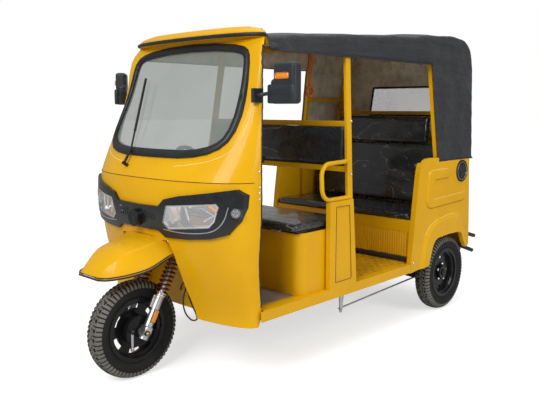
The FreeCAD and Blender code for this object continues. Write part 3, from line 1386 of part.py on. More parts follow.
def rail_outline(low, high):
    """Band that follows the canopy line between two heights off the rail's middle."""
    ys = [y for y, z in CANOPY_LINE if y < D_POST_TOP_Y] + [D_POST_TOP_Y + FRAME_TUBE / 2]
    top = [(y, rail_z(y) + high) for y in ys]
    return top + [(y, rail_z(y) + low) for y in reversed(ys)]


def roof_rail():
    """Left roof rail that follows the canopy line."""
    half = FRAME_TUBE / 2
    return prism_x(rail_outline(-half, half), rail_x() - half, rail_x() + half)


def corner_post(y, top_y, low_z):
    """Left rear post from the quarter panel to the roof rail."""
    low = Vector(post_x(CURTAIN_LOW_Z), y, low_z)
    knee = Vector(post_x(CURTAIN_LOW_Z), y, CURTAIN_LOW_Z)
    high = Vector(rail_x(), top_y, rail_z(top_y))
    half = FRAME_TUBE / 2
    return square_post(low, knee, half, half).fuse(square_post(knee, high, half, half))


def rear_post_y(z):
    """Place of the leaning rear post along the vehicle, at a height."""
    return D_POST_Y + (D_POST_TOP_Y - D_POST_Y) * (z - CURTAIN_LOW_Z) / (rail_z(D_POST_TOP_Y) - CURTAIN_LOW_Z)


def crown_rise(x):
    """Rise of the crowned roof above its rails at a place across the vehicle."""
    inner = CANOPY_TOP_X / 2
    if x > inner:
        return CANOPY_CROWN * CROWN_SHARE * (rail_x() - x) / (rail_x() - inner)
    return CANOPY_CROWN * (1 - (1 - CROWN_SHARE) * x / inner)


def roof_bow(y):
    """Crowned bow between the roof rails."""
    half = FRAME_TUBE / 2
    z = rail_z(y)
    line = [(x, z + crown_rise(x)) for x in (rail_x(), CANOPY_TOP_X / 2, 0)]
    line = line + [(-x, z) for x, z in reversed(line[:-1])]
    outline = [(x, z + half) for x, z in line] + [(x, z - half) for x, z in reversed(line)]
    return prism_y(outline, y - half, y + half)


def make_upper_frame():
    """Welded tube frame that carries the canopy."""
    half = FRAME_TUBE / 2
    side = roof_rail()
    side = side.fuse(corner_post(C_POST_Y, C_POST_Y, BENCH_TOP_Z))
    side = side.fuse(corner_post(D_POST_Y, D_POST_TOP_Y, BENCH_TOP_Z))
    x_bar = post_x(SIDE_BAR_Z)
    side = side.fuse(box(x_bar - half, x_bar + half, C_POST_Y, rear_post_y(SIDE_BAR_Z),
                         SIDE_BAR_Z - half, SIDE_BAR_Z + half))
    frame = side.fuse(mirrored(side))
    for y in BOW_YS + [D_POST_TOP_Y]:
        frame = frame.fuse(roof_bow(y))
    for z in (HEAD_BAR_Z, HEADREST_Z + FRAME_TUBE):
        x_bar = post_x(z)
        y = rear_post_y(z)
        frame = frame.fuse(box(-x_bar, x_bar, y - half, y + half, z - half, z + half))
    return frame


def canopy_section(y, top_z, inset, low_z):
    """Cross section of the canopy at one station."""
    half = [
        (CANOPY_LOW_X - inset, low_z), (CANOPY_MID_X - inset, VALANCE_Z),
        (CANOPY_TOP_X - inset, top_z - CANOPY_SHOULDER - inset),
        (CANOPY_TOP_X - CANOPY_SHOULDER, top_z - inset),
        (CANOPY_TOP_X / 2, top_z + CANOPY_CROWN * CROWN_SHARE - inset), (0, top_z + CANOPY_CROWN - inset),
    ]
    return arch_wire(y, half)


def canopy_solid(inset):
    """Filled canopy, moved inward by an amount."""
    overlap = CANOPY_OVERLAP if inset else 0
    stations = [(CANOPY_LINE[0][0] - overlap, CANOPY_LINE[0][1])] + CANOPY_LINE[1:]
    stations.append((CANOPY_REAR[1][0] - inset, CANOPY_REAR[0][1]))
    wires = [canopy_section(y, z, inset, CURTAIN_LOW_Z - overlap) for y, z in stations]
    body = Part.makeLoft(wires, True, True)
    cutter = [(y - inset, z) for y, z in CANOPY_REAR[1:]]
    cutter.append((cutter[-1][0], 0))
    cutter += [(2 * WHEELBASE, 0), (2 * WHEELBASE, cutter[0][1])]
    return body.cut(prism_x(cutter, -2 * BODY_HALF_W, 2 * BODY_HALF_W))


def make_canopy():
    """Fabric roof with its valance and rear curtains."""
    canopy = canopy_solid(0).cut(canopy_solid(CANOPY_T))
    opening = box(-2 * BODY_HALF_W, 2 * BODY_HALF_W, -WHEELBASE, CURTAIN_Y, 0, VALANCE_Z)
    window = box(-WINDOW_HALF_W, WINDOW_HALF_W, C_POST_Y, 2 * WHEELBASE, WINDOW_LOW_Z, WINDOW_TOP_Z)
    return canopy.cut(opening).cut(window)


def make_rear_window():
    """Clear sheet in the rear curtain."""
    inset = (CANOPY_T - WINDOW_T) / 2
    outer = canopy_solid(inset).cut(canopy_solid(inset + WINDOW_T))
    half_w = WINDOW_HALF_W - SEAT_GAP
    return outer.common(box(-half_w, half_w, D_POST_Y, 2 * WHEELBASE,
                            WINDOW_LOW_Z + SEAT_GAP, WINDOW_TOP_Z - SEAT_GAP))


def make_grab_strap():
    """Hanging strap with its ring."""
    top = rail_z(STRAP_Y) + crown_rise(STRAP_X) - FRAME_TUBE / 2 - SEAT_GAP
    strap = box(STRAP_X - STRAP_T / 2, STRAP_X + STRAP_T / 2, STRAP_Y - STRAP_W / 2, STRAP_Y + STRAP_W / 2,
                RING_TOP_Z - RING_R, top)
    radius = (RING_TOP_Z - RING_LOW_Z) / 2
    middle = Vector(STRAP_X, STRAP_Y, RING_TOP_Z - radius - RING_R)
    return strap.fuse(Part.makeTorus(radius, RING_R, middle, Vector(1, 0, 0)))


def make_engine():
    """Engine block under the driver's seat."""
    return box(-ENGINE_HALF_W, ENGINE_HALF_W, ENGINE_FRONT_Y, ENGINE_REAR_Y, ENGINE_LOW_Z, ENGINE_TOP_Z)


def drive_shaft():
    """Shaft from the engine to the differential."""
    start = Vector(0, ENGINE_REAR_Y, AXLE_Z + SHAFT_RISE)
    end = Vector(0, REAR_AXLE_Y - DIFF_R, AXLE_Z)
    engine = box(-ENGINE_HALF_W, ENGINE_HALF_W, ENGINE_FRONT_Y, ENGINE_REAR_Y, 0, FLOOR_Z)
    return rod(start, end, SHAFT_R).cut(engine)


def make_bumper():
    """Rear bumper tubes on two brackets."""
    bumper = None
    for z in (BUMPER_LOW_Z, BUMPER_HIGH_Z):
        bar = rod(Vector(-BUMPER_HALF_W, BUMPER_Y, z), Vector(BUMPER_HALF_W, BUMPER_Y, z), BUMPER_R)
        bumper = bar if bumper is None else bumper.fuse(bar)
    for side in (-1, 1):
        x = side * RAIL_X
        x0 = x - BUMPER_ARM_HALF_W
        x1 = x + BUMPER_ARM_HALF_W
        arm = box(x0, x1, REAR_WALL_Y, BUMPER_Y,
                  BUMPER_LOW_Z - BUMPER_ARM_HALF_H, BUMPER_LOW_Z + BUMPER_ARM_HALF_H)
        upright = box(x0, x1, BUMPER_Y - BUMPER_R / 2, BUMPER_Y + BUMPER_R / 2, BUMPER_LOW_Z, BUMPER_HIGH_Z)
        bumper = bumper.fuse(arm).fuse(upright)
    start = Vector(-BODY_HALF_W, TIE_HOLE_Y, BUMPER_LOW_Z)
    return bumper.cut(Part.makeCylinder(TIE_HOLE_R, BODY_HALF_W * 2, start, Vector(1, 0, 0)))


def make_brake_rod():
    """Bracket under the left sill and its thin rod to the rear brake."""
    x = BRAKE_BRACKET_X
    y0, y1 = BRAKE_BRACKET_Y
    low_z = BRAKE_PIN_Z - BRAKE_BRACKET_FOOT
    half_t = BRAKE_BRACKET_T / 2
    outline = [(y0, BRAKE_BEAM_Z), (y1, BRAKE_BEAM_Z), (BRAKE_BRACKET_T, low_z), (-BRAKE_BRACKET_T, low_z)]
    bracket = prism_x(outline, x - half_t, x + half_t)
    beam = box(RAIL_X + RAIL_W / 2, x + half_t, y0, y1,
               BRAKE_BEAM_Z - BRAKE_BEAM_T / 2, BRAKE_BEAM_Z + BRAKE_BEAM_T / 2)
    line = rod(Vector(x - BRAKE_ROD_IN, 0, BRAKE_PIN_Z), Vector(*BRAKE_ROD_END), BRAKE_ROD_R)
    pin_end = Vector(x + BRAKE_PIN_OUT, 0, BRAKE_PIN_Z)
    pin = rod(Vector(x - BRAKE_PIN_IN, 0, BRAKE_PIN_Z), pin_end, BRAKE_ROD_R)
    return bracket.fuse(beam).fuse(line).fuse(pin)


def make_mirrors():
    """Door mirrors on arms from the windshield pillars, the right one turned to the driver."""
    x0 = MIRROR_X - MIRROR_HALF_W
    x1 = MIRROR_X + MIRROR_HALF_W
    low_z = MIRROR_Z - MIRROR_HALF_H
    housing = box(x0, x1, MIRROR_Y - MIRROR_DEPTH, MIRROR_Y, low_z, MIRROR_Z + MIRROR_HALF_H)
    step = box(x0 - MIRROR_STEP_W, x1 - MIRROR_ROUND, MIRROR_Y - MIRROR_STEP_DEPTH, MIRROR_Y,
               low_z, MIRROR_STEP_TOP_Z)
    housing = rounded(housing, MIRROR_ROUND).fuse(rounded(step, MIRROR_ROUND))
    arm = tube_along([Vector(*point) for point in MIRROR_ARM], MIRROR_ARM_R, MIRROR_ARM_CURVE)
    foot = box(*MIRROR_FOOT_X, *MIRROR_FOOT_Y, *MIRROR_FOOT_Z)
    carrier = arm.fuse(foot).cut(front_solid(NOSE_HIGH, 0, 0))
    turned = housing.copy()
    turned.rotate(Vector(*MIRROR_ARM[-1]), Vector(0, 0, 1), MIRROR_RIGHT_TURN)
    return Part.makeCompound([housing.fuse(carrier), mirrored(turned.fuse(carrier))])


def shield_y(x, z, offset, sections=NOSE_HIGH):
    """Front surface of the front end at a place, moved outward."""
    low, high = [pair for pair in zip(sections, sections[1:]) if pair[0][0] <= z <= pair[1][0]][0]
    share = (z - low[0]) / (high[0] - low[0])
    centre_y, half_w, door_y = [a + (b - a) * share for a, b in zip(low[1:], high[1:])]
    reach = (1 - (abs(x) / half_w) ** PLAN_POWER_X) ** (1 / PLAN_POWER_Y)
    return door_y - (door_y - centre_y) * reach - offset


def make_wiper():
    """Wiper arm and blade on its spindle below the windshield."""
    base = Vector(WIPER_X, shield_y(WIPER_X, WIPER_Z, 0), WIPER_Z)
    knee_z = WIPER_Z + WIPER_KNEE_RISE
    knee = Vector(WIPER_KNEE_X, shield_y(WIPER_X, knee_z, WIPER_PROUD), knee_z)
    tip = Vector(WIPER_TIP_X, shield_y(WIPER_TIP_X, WIPER_TIP_Z, WIPER_PROUD), WIPER_TIP_Z)
    out = Vector(0, -1, 0.6).normalize()
    run = tip - knee
    spindle = rod(base, base + out * WIPER_SPINDLE_L, WIPER_SPINDLE_R)
    lower = rod(base + out * (WIPER_SPINDLE_L - WIPER_SPINDLE_R), knee, WIPER_BLADE_R)
    arm = rod(knee, knee + run * WIPER_ARM_SHARE, WIPER_ARM_R)
    blade = rod(knee + run * WIPER_BLADE_START, tip, WIPER_BLADE_R)
    wiper = spindle.fuse(lower).fuse(arm).fuse(blade)
    return wiper.cut(front_solid(NOSE_HIGH, SEAL_PROUD + 1)).fuse(spindle).cut(front_solid(NOSE_HIGH, 0))


def make_cable():
    """Black cable that hangs in a loop from the back of the wheel well."""
    return tube_along([Vector(x, y, z) for x, y, z in CABLE_ROUTE], CABLE_R)


def make_dash():
    """Instrument panel shelf inside the nose."""
    shelf = box(-BODY_HALF_W, BODY_HALF_W, -WHEELBASE, DASH_REAR_Y, DASH_LOW_Z, DASH_TOP_Z)
    return front_solid(NOSE_LOW, -SKIN - SEAT_GAP, SKIN).common(shelf)


def make_lamp_covers():
    """Clear covers of both headlamps and both round lamps."""
    left = [make_lens(), make_round_lamp()]
    return Part.makeCompound(left + [mirrored(lamp) for lamp in left])


PARTS = {
    "chassis_frame": make_chassis,
    "floor_pan": make_floor,
    "sills": make_sills,
    "nose_panel": make_nose_panel,
    "front_wheel_well": make_wheel_well,
    "windshield_frame": make_shield_frame,
    "windshield_seal": make_shield_seal,
    "windshield_glass": make_shield_glass,
    "roof_cap": make_roof_cap,
    "lamp_fascia": make_fascia,
    "headlamp_lenses": make_lamp_covers,
    "headlamp_bowls": make_bowls,
    "front_mudguard": make_mudguard,
    "wiper": make_wiper,
    "door_mirrors": make_mirrors,
    "dash_shelf": make_dash,
    "door_pillars": make_door_pillars,
    "partition_bars": make_partition,
    "driver_backrest": make_driver_backrest,
    "driver_seat_box": make_seat_box,
    "driver_cushion": make_driver_cushion,
    "quarter_panels": make_quarter_panels,
    "side_badges": make_badges,
    "rear_wall": make_rear_wall,
    "tail_lamps": make_tail_lamps,
    "bench_base": make_bench_base,
    "bench_cushion": make_bench_cushion,
    "bench_backrests": make_bench_backrests,
    "upper_frame": make_upper_frame,
    "canopy": make_canopy,
    "rear_window": make_rear_window,
    "grab_strap": make_grab_strap,
    "engine_block": make_engine,
    "rear_axle": make_rear_axle,
    "leaf_springs": make_leaf_springs,
    "rear_bumper": make_bumper,
    "brake_rod": make_brake_rod,
    "fork_crown": make_fork_crown,
    "fork_sliders": make_fork_sliders,
    "fork_springs": make_fork_springs,
    "front_axle": make_front_axle,
    "handlebar": make_handlebar,
    "front_cable": make_cable,
    "front_tyre": make_front_tyre,
    "front_rim": make_front_rim,
    "rear_tyre_left": make_left_tyre,
    "rear_rim_left": make_left_rim,
    "rear_tyre_right": make_right_tyre,
    "rear_rim_right": make_right_rim,
}


def main():
    """Make every piece and move it so that the origin is under its middle."""
    os.makedirs("parts", exist_ok=True)
    front = FRONT_AXLE_Y - TYRE_R
    rear = CANOPY_REAR[1][0]
    shift = Vector(0, -(front + rear) / 2, 0)
    for name, make in PARTS.items():
        shape = make()
        shape.translate(shift)
        print(name, shape.isValid(), len(shape.Solids), round(shape.Volume))
        shape.exportStep("parts/" + name + ".step")


main()
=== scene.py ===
import math
import bmesh
import bpy
from mathutils import Matrix, Vector, noise
from mathutils.bvhtree import BVHTree


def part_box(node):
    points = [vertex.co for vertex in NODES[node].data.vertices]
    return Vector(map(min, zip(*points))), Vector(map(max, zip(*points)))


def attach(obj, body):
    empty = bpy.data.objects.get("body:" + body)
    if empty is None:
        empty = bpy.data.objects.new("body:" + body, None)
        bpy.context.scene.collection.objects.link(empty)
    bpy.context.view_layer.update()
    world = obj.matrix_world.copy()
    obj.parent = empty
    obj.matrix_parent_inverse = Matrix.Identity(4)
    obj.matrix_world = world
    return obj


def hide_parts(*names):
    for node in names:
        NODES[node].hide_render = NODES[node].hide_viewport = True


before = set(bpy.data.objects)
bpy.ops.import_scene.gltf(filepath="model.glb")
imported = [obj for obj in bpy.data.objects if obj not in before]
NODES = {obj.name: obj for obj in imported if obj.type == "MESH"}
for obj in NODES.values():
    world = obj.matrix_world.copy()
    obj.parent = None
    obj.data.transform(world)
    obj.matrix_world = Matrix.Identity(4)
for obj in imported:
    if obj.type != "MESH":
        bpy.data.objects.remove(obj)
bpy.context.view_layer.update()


def centre(node):
    """Middle of a CAD node's box."""
    low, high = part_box(node)
    return (low + high) / 2


# Places worked out from the CAD nodes
FRONT_HUB = Vector((0, centre("front_rim").y, centre("front_rim").z))
REAR_HUBS = {side: centre("rear_rim_" + side) for side in ("left", "right")}
MID_Y = (FRONT_HUB.y + REAR_HUBS["left"].y) / 2
HALF_TRACK = centre("rear_tyre_left").x

# Camera, solved from the photograph
CAMERA_AT = Vector((2.7924, -3.0569, 1.3978))
CAMERA_AZIMUTH = math.radians(43.7)
CAMERA_DOWN = math.radians(8.0)
FOCAL_PIXELS = 655.0
IMAGE_WIDTH = 538.0
SENSOR_MM = 36.0
CLIP_START = 0.05

# Colours in linear light
YELLOW = (0.72, 0.385, 0.005, 1)
YELLOW_DEEP = (0.67, 0.345, 0.004, 1)
MAT_BROWN = (0.16, 0.12, 0.085, 1)
SATIN_BLACK = (0.010, 0.010, 0.011, 1)
PLASTIC_BLACK = (0.009, 0.010, 0.011, 1)
MIRROR_GREY = (0.018, 0.022, 0.027, 1)
RUBBER_BLACK = (0.012, 0.013, 0.015, 1)
TYRE_BLACK = (0.010, 0.0105, 0.010, 1)
TREAD_GREY = (0.15, 0.142, 0.125, 1)
SILVER = (0.60, 0.61, 0.62, 1)
CHROME = (0.80, 0.80, 0.80, 1)
BRASS = (0.45, 0.34, 0.18, 1)
SPRING_RED = (0.115, 0.008, 0.013, 1)
AMBER = (0.85, 0.27, 0.010, 1)
CANVAS = (0.011, 0.013, 0.017, 1)
CANVAS_DEEP = (0.005, 0.006, 0.009, 1)
LINING = (0.88, 0.84, 0.72, 1)
LINING_DEEP = (0.48, 0.44, 0.35, 1)
VINYL = (0.007, 0.010, 0.013, 1)
WRAP_HAZE = (0.036, 0.043, 0.047, 1)
# Pale colour of the painted highlights along the wrap's creases
WRAP_PAINTED_HIGHLIGHT = (0.60, 0.62, 0.61, 1)
WRAP_LEAN = 40
STRAP_RED = (0.36, 0.075, 0.022, 1)
# Dark brown of the seams, also used for a line of painted shade around the step panel's recess
SEAM_AND_PAINTED_SHADE = (0.10, 0.025, 0.006, 1)
TAIL_RED = (0.35, 0.010, 0.008, 1)
SPRING_STEEL = (0.06, 0.06, 0.065, 1)
ENGINE_GREY = (0.3, 0.3, 0.3, 1)
WINDSHIELD_TINT = (0.26, 0.29, 0.265, 1)
LENS_TINT = (0.9, 0.92, 0.94, 1)
WINDOW_TINT = (0.46, 0.47, 0.41, 1)
# Lighter and darker yellow of thin lines that paint highlight and shade along creases and pressings
PAINTED_HIGHLIGHT_LINE = (0.80, 0.62, 0.22, 1)
PAINTED_HIGHLIGHT_LINE_DEEP = (0.74, 0.55, 0.16, 1)
PAINTED_SHADE_LINE = (0.30, 0.14, 0.004, 1)
PAINTED_SHADE_LINE_DEEP = (0.24, 0.11, 0.003, 1)
LAMP_BACK_BLUE = (0.05, 0.055, 0.06, 1)
# Dark colour of a strip of painted shade at the foot of the bench front
KICK_PAINTED_SHADE = (0.02, 0.018, 0.015, 1)

# Steering frame: middle of the fork crown and the raked axis
RAKE = math.radians(29.0)
CROWN_AT = Vector((0, MID_Y - 0.819, 0.655))
AXIS_UP = Vector((0, math.sin(RAKE), math.cos(RAKE)))
AXIS_BACK = Vector((0, math.cos(RAKE), -math.sin(RAKE)))
LEG_X = 0.095
LEG_AHEAD = 0.040
SPRING_TOP = -0.046
SPRING_LOW = -0.2625
SPRING_R = 0.0305
SPRING_WIRE_R = 0.0046
SPRING_TURNS = 9.5


def at(x, y, z):
    """Point with y measured from the middle of the wheelbase."""
    return Vector((x, MID_Y + y, z))


def on_fork(x, back, up):
    """Point in the steering frame, measured from the fork crown."""
    return CROWN_AT + Vector((x, 0, 0)) + AXIS_BACK * back + AXIS_UP * up


def millimetres(length):
    """Whole millimetres of a length, for a piece's name."""
    return round(length * 1000)


def side_name(sign):
    """Word for a side of the vehicle; the left is at positive x."""
    return "left" if sign > 0 else "right"




class Shader:
    """Small helper that builds a node material around one Principled shader."""

    def __init__(self, name):
        self.material = bpy.data.materials.new(name)
        self.material.use_nodes = True
        self.tree = self.material.node_tree
        self.shader = self.tree.nodes["Principled BSDF"]
        self.coords = self.node("ShaderNodeTexCoord").outputs["Object"]

    def node(self, kind):
        return self.tree.nodes.new(kind)

    def link(self, source, target):
        self.tree.links.new(source, target)

    def put(self, **values):
        """Constants on the shader's own sockets; underscores stand for spaces."""
        for key, value in values.items():
            self.shader.inputs[key.replace("_", " ")].default_value = value

    def mapped(self, scale=(1, 1, 1), turn=(0, 0, 0)):
        """Object coordinates turned by degrees and stretched."""
        mapping = self.node("ShaderNodeMapping")
        mapping.inputs["Scale"].default_value = scale
        mapping.inputs["Rotation"].default_value = [math.radians(a) for a in turn]
        self.link(self.coords, mapping.inputs["Vector"])
        return mapping.outputs["Vector"]

    def noise(self, scale, detail=4.0, rough=0.55, stretch=None, turn=(0, 0, 0)):
        """Noise in object space, optionally turned and stretched."""
        texture = self.node("ShaderNodeTexNoise")
        texture.inputs["Scale"].default_value = scale
        texture.inputs["Detail"].default_value = detail
        texture.inputs["Roughness"].default_value = rough
        source = self.mapped(stretch, turn) if stretch else self.coords
        self.link(source, texture.inputs["Vector"])
        return texture.outputs["Fac"]

    def cells(self, scale, stretch=(1, 1, 1)):
        """Cell pattern in object space."""
        texture = self.node("ShaderNodeTexVoronoi")
        texture.inputs["Scale"].default_value = scale
        self.link(self.mapped(stretch), texture.inputs["Vector"])
        return texture.outputs["Distance"]

    def wave(self, scale, axis):
        """Bands across one axis."""
        texture = self.node("ShaderNodeTexWave")
        texture.bands_direction = axis
        texture.inputs["Scale"].default_value = scale
        self.link(self.coords, texture.inputs["Vector"])
        return texture.outputs["Fac"]

    def ridges(self, scale, width, stretch, turn, detail):
        """Thin bright lines where a noise crosses its middle value."""
        cloud = self.noise(scale, detail, 0.5, stretch, turn)
        away = self.math("ABSOLUTE", self.math("SUBTRACT", cloud, 0.5), 0.0)
        return self.range(away, 1.0, 0.0, 0.0, width)

    def ramp(self, factor, stops):
        """Colour ramp over a factor; stops are position and colour."""
        ramp = self.node("ShaderNodeValToRGB")
        elements = ramp.color_ramp.elements
        while len(elements) < len(stops):
            elements.new(0.5)
        for element, (place, colour) in zip(elements, stops):
            element.position = place
            element.color = colour
        self.link(factor, ramp.inputs["Fac"])
        return ramp.outputs["Color"]

    def mix(self, factor, a, b):
        """Colour between two colours or colour sockets."""
        node = self.node("ShaderNodeMix")
        node.data_type = "RGBA"
        self.link(factor, node.inputs["Factor"])
        for socket, value in ((node.inputs[6], a), (node.inputs[7], b)):
            if isinstance(value, tuple):
                socket.default_value = value
            else:
                self.link(value, socket)
        return node.outputs[2]

    def range(self, factor, low, high, from_low=0.0, from_high=1.0):
        """Number moved from one range to another."""
        node = self.node("ShaderNodeMapRange")
        node.inputs["From Min"].default_value = from_low
        node.inputs["From Max"].default_value = from_high
        node.inputs["To Min"].default_value = low
        node.inputs["To Max"].default_value = high
        self.link(factor, node.inputs["Value"])
        return node.outputs["Result"]

    def math(self, operation, a, b):
        """Sum, product or the like of two sockets or numbers."""
        node = self.node("ShaderNodeMath")
        node.operation = operation
        for socket, value in zip(node.inputs, (a, b)):
            if isinstance(value, (int, float)):
                socket.default_value = value
            else:
                self.link(value, socket)
        return node.outputs["Value"]

    def bump(self, height, distance, strength=1.0):
        """Bump on the shader's normal, over an earlier bump if there is one."""
        node = self.node("ShaderNodeBump")
        node.inputs["Strength"].default_value = strength
        node.inputs["Distance"].default_value = distance
        self.link(height, node.inputs["Height"])
        earlier = self.shader.inputs["Normal"].links
        if earlier:
            self.link(earlier[0].from_socket, node.inputs["Normal"])
        self.link(node.outputs["Normal"], self.shader.inputs["Normal"])

    def colour(self, factor, dark, light, low=0.3, high=0.7):
        """Base colour from dark to light along a factor."""
        self.link(self.ramp(factor, [(low, dark), (high, light)]), self.shader.inputs["Base Color"])

    def roughness(self, factor, low, high):
        """Roughness from low to high along a factor."""
        self.link(self.range(factor, low, high, 0.3, 0.7), self.shader.inputs["Roughness"])


def tinted(colour, factor):
    """Colour made lighter or darker by a factor."""
    return tuple(min(1.0, c * factor) for c in colour[:3]) + (1,)


def painted(name, colour, deep, rough=0.30, coat=0.15):
    """Sprayed paint with faint cloudiness, dust and orange peel."""
    s = Shader(name)
    s.put(Coat_Weight=coat, Coat_Roughness=0.08, Specular_IOR_Level=0.10)
    s.colour(s.noise(3.0, 5.0, 0.6), deep, colour, 0.30, 0.62)
    s.roughness(s.noise(26.0, 4.0), rough - 0.05, rough + 0.08)
    s.bump(s.noise(420.0, 2.0), 0.0002, 0.25)
    return s.material


def moulded(name, colour, rough=0.45, grain=900.0, gloss=0.35):
    """Moulded plastic or rubber with a fine grain."""
    s = Shader(name)
    s.put(Specular_IOR_Level=gloss)
    s.colour(s.noise(7.0, 4.0), tinted(colour, 0.75), tinted(colour, 1.3))
    s.roughness(s.noise(34.0, 5.0), rough - 0.07, rough + 0.09)
    s.bump(s.noise(grain, 2.0), 0.0004, 0.35)
    return s.material


def metal(name, colour, rough=0.3):
    """Bare or plated metal with light brushing."""
    s = Shader(name)
    s.put(Metallic=1.0)
    s.colour(s.noise(14.0, 5.0), tinted(colour, 0.8), tinted(colour, 1.15))
    s.roughness(s.noise(60.0, 4.0, 0.6, (1, 1, 12)), rough - 0.08, rough + 0.1)
    s.bump(s.noise(300.0, 2.0, 0.5, (1, 1, 10)), 0.0002, 0.3)
    return s.material


def clear(name, colour, rough=0.02, alpha=0.2):
    """Thin clear sheet that lets the view through."""
    s = Shader(name)
    s.put(Coat_Weight=0.6, Coat_Roughness=0.02)
    s.colour(s.noise(5.0), tinted(colour, 0.9), colour)
    s.roughness(s.noise(40.0), rough, rough + 0.05)
    s.link(s.range(s.noise(2.2, 3.0), alpha - 0.03, alpha + 0.03, 0.3, 0.7), s.shader.inputs["Alpha"])
    return s.material


def amber_plastic(name):
    """Ribbed amber reflector plastic."""
    s = Shader(name)
    s.put(Coat_Weight=0.5, Coat_Roughness=0.05)
    s.colour(s.cells(260.0), tinted(AMBER, 0.65), AMBER, 0.1, 0.6)
    s.roughness(s.noise(90.0), 0.15, 0.3)
    s.bump(s.cells(260.0), 0.0008, 0.5)
    return s.material


def woven(name, colour, deep):
    """Coated canvas with a fine weave and glossy soft folds."""
    s = Shader(name)
    s.put(Sheen_Weight=0.03, Sheen_Roughness=0.5)
    s.put(Specular_IOR_Level=0.38, Coat_Weight=0.25, Coat_Roughness=0.28)
    s.colour(s.noise(5.0, 5.0, 0.6), deep, colour)
    s.roughness(s.noise(18.0, 4.0), 0.38, 0.52)
    s.bump(s.noise(5.0, 5.0, 0.60, (1, 0.35, 2.4)), 0.045, 0.8)
    s.bump(s.noise(14.0, 4.0, 0.6, (1, 1.2, 0.5), (25, 0, 0)), 0.010, 0.5)
    s.bump(s.wave(420.0, "Z"), 0.0003, 0.2)
    s.bump(s.wave(420.0, "Y"), 0.0003, 0.2)
    return s.material


def foil_lining(name):
    """Crinkled lining of foil-backed cloth."""
    s = Shader(name)
    s.put(Metallic=0.15, Specular_IOR_Level=0.5)
    s.colour(s.noise(11.0, 6.0, 0.65), LINING_DEEP, LINING, 0.32, 0.68)
    s.roughness(s.noise(40.0, 5.0), 0.28, 0.5)
    s.bump(s.cells(70.0, (1, 1, 1.6)), 0.006, 0.5)
    s.bump(s.noise(130.0, 4.0, 0.6), 0.004, 0.5)
    return s.material


def wrapped_vinyl(name):
    """Black vinyl still in its clear wrap, with highlights painted into its colour along the wrap's long
    creases.
    """
    s = Shader(name)
    lean = WRAP_LEAN
    s.put(Coat_Weight=0.7, Coat_Roughness=0.10, Specular_IOR_Level=0.3)
    creases = s.ridges(3.0, 0.008, (1, 7, 1.6), (lean, 0, 0), 0.6)
    fine = s.ridges(7.5, 0.010, (1, 6, 1.6), (lean + 14, 0, 0), 0.8)
    patch = s.range(s.noise(4.0, 4.0), 0.0, 1.0, 0.50, 0.58)
    other = s.range(s.noise(6.5, 4.0), 0.0, 1.0, 0.54, 0.62)
    lines = s.math("MAXIMUM", s.math("MULTIPLY", creases, patch), s.math("MULTIPLY", fine, other))
    haze = s.ramp(s.noise(3.0, 6.0, 0.6), [(0.35, VINYL), (0.75, WRAP_HAZE)])
    # Painted highlight: the base colour turns pale along the crease lines
    s.link(s.mix(s.math("MULTIPLY", lines, 0.5), haze, WRAP_PAINTED_HIGHLIGHT), s.shader.inputs["Base Color"])
    s.roughness(s.noise(22.0, 5.0), 0.18, 0.36)
    s.bump(s.noise(3.6, 2.5, 0.5, (1, 6, 1.6), (lean, 0, 0)), 0.024, 0.5)
    s.bump(s.noise(9.0, 4.0, 0.6, (1, 4, 1.6), (lean - 75, 0, 0)), 0.008, 0.5)
    s.bump(lines, 0.003, 0.6)
    return s.material


def floor_paint(name):
    """Yellow floor paint, scuffed in a fine film."""
    s = Shader(name)
    s.put(Specular_IOR_Level=0.25)
    s.colour(s.noise(6.0, 6.0, 0.65), tinted(YELLOW, 0.55), tinted(YELLOW, 0.9))
    s.roughness(s.noise(30.0, 4.0), 0.4, 0.6)
    s.bump(s.noise(240.0, 2.0), 0.0004, 0.3)
    return s.material


def link_piece(name, mesh, material, smooth=True):
    """New object from a mesh, linked to the scene."""
    piece = bpy.data.objects.new(name, mesh)
    bpy.context.scene.collection.objects.link(piece)
    mesh.materials.append(material)
    for face in mesh.polygons:
        face.use_smooth = smooth
    return piece


def riding(piece, body):
    """The piece, riding on a body where one is given."""
    if body:
        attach(piece, body)
    return piece


def mesh_piece(name, vertices, faces, material, body=None):
    """Object from vertices and faces."""
    mesh = bpy.data.meshes.new(name)
    mesh.from_pydata([tuple(v) for v in vertices], [], faces)
    mesh.update()
    return riding(link_piece(name, mesh, material), body)


def built_piece(name, build, material, smooth=True):
    """Object from a bmesh, which is freed."""
    mesh = bpy.data.meshes.new(name)
    build.normal_update()
    build.to_mesh(mesh)
    build.free()
    return link_piece(name, mesh, material, smooth)


def grid_faces(columns, rows, around=False):
    """Quads of a grid whose vertices run row by row; around closes each row."""
    faces = []
    for row in range(rows - 1):
        for column in range(columns if around else columns - 1):
            a = row * columns + column
            b = row * columns + (column + 1) % columns
            faces.append((a, b, b + columns, a + columns))
    return faces


def thicken(piece, thickness, offset=-1, inner_slot=0):
    """Give a sheet its thickness; inner_slot is the material slot of its second face."""
    wall = piece.modifiers.new("wall", "SOLIDIFY")
    wall.thickness = thickness
    wall.offset = offset
    wall.material_offset = inner_slot
    bpy.context.view_layer.objects.active = piece
    bpy.ops.object.modifier_apply(modifier=wall.name)


def line_value(points, place):
    """Height on a line of (place, height) points, straight between them."""
    if place <= points[0][0]:
        return points[0][1]
    for (a, low), (b, high) in zip(points, points[1:]):
        if place <= b:
            return low + (high - low) * (place - a) / (b - a)
    return points[-1][1]


def smooth_step(low, high, value):
    """0 below low, 1 above high and soft between."""
    t = max(0.0, min(1.0, (value - low) / (high - low)))
    return t * t * (3 - 2 * t)


def move_vertices(build, rule):
    """Move every vertex by what the rule gives for it, all worked out before the first one moves."""
    build.normal_update()
    moves = [(vertex, rule(vertex)) for vertex in build.verts]
    for vertex, move in moves:
        vertex.co += move


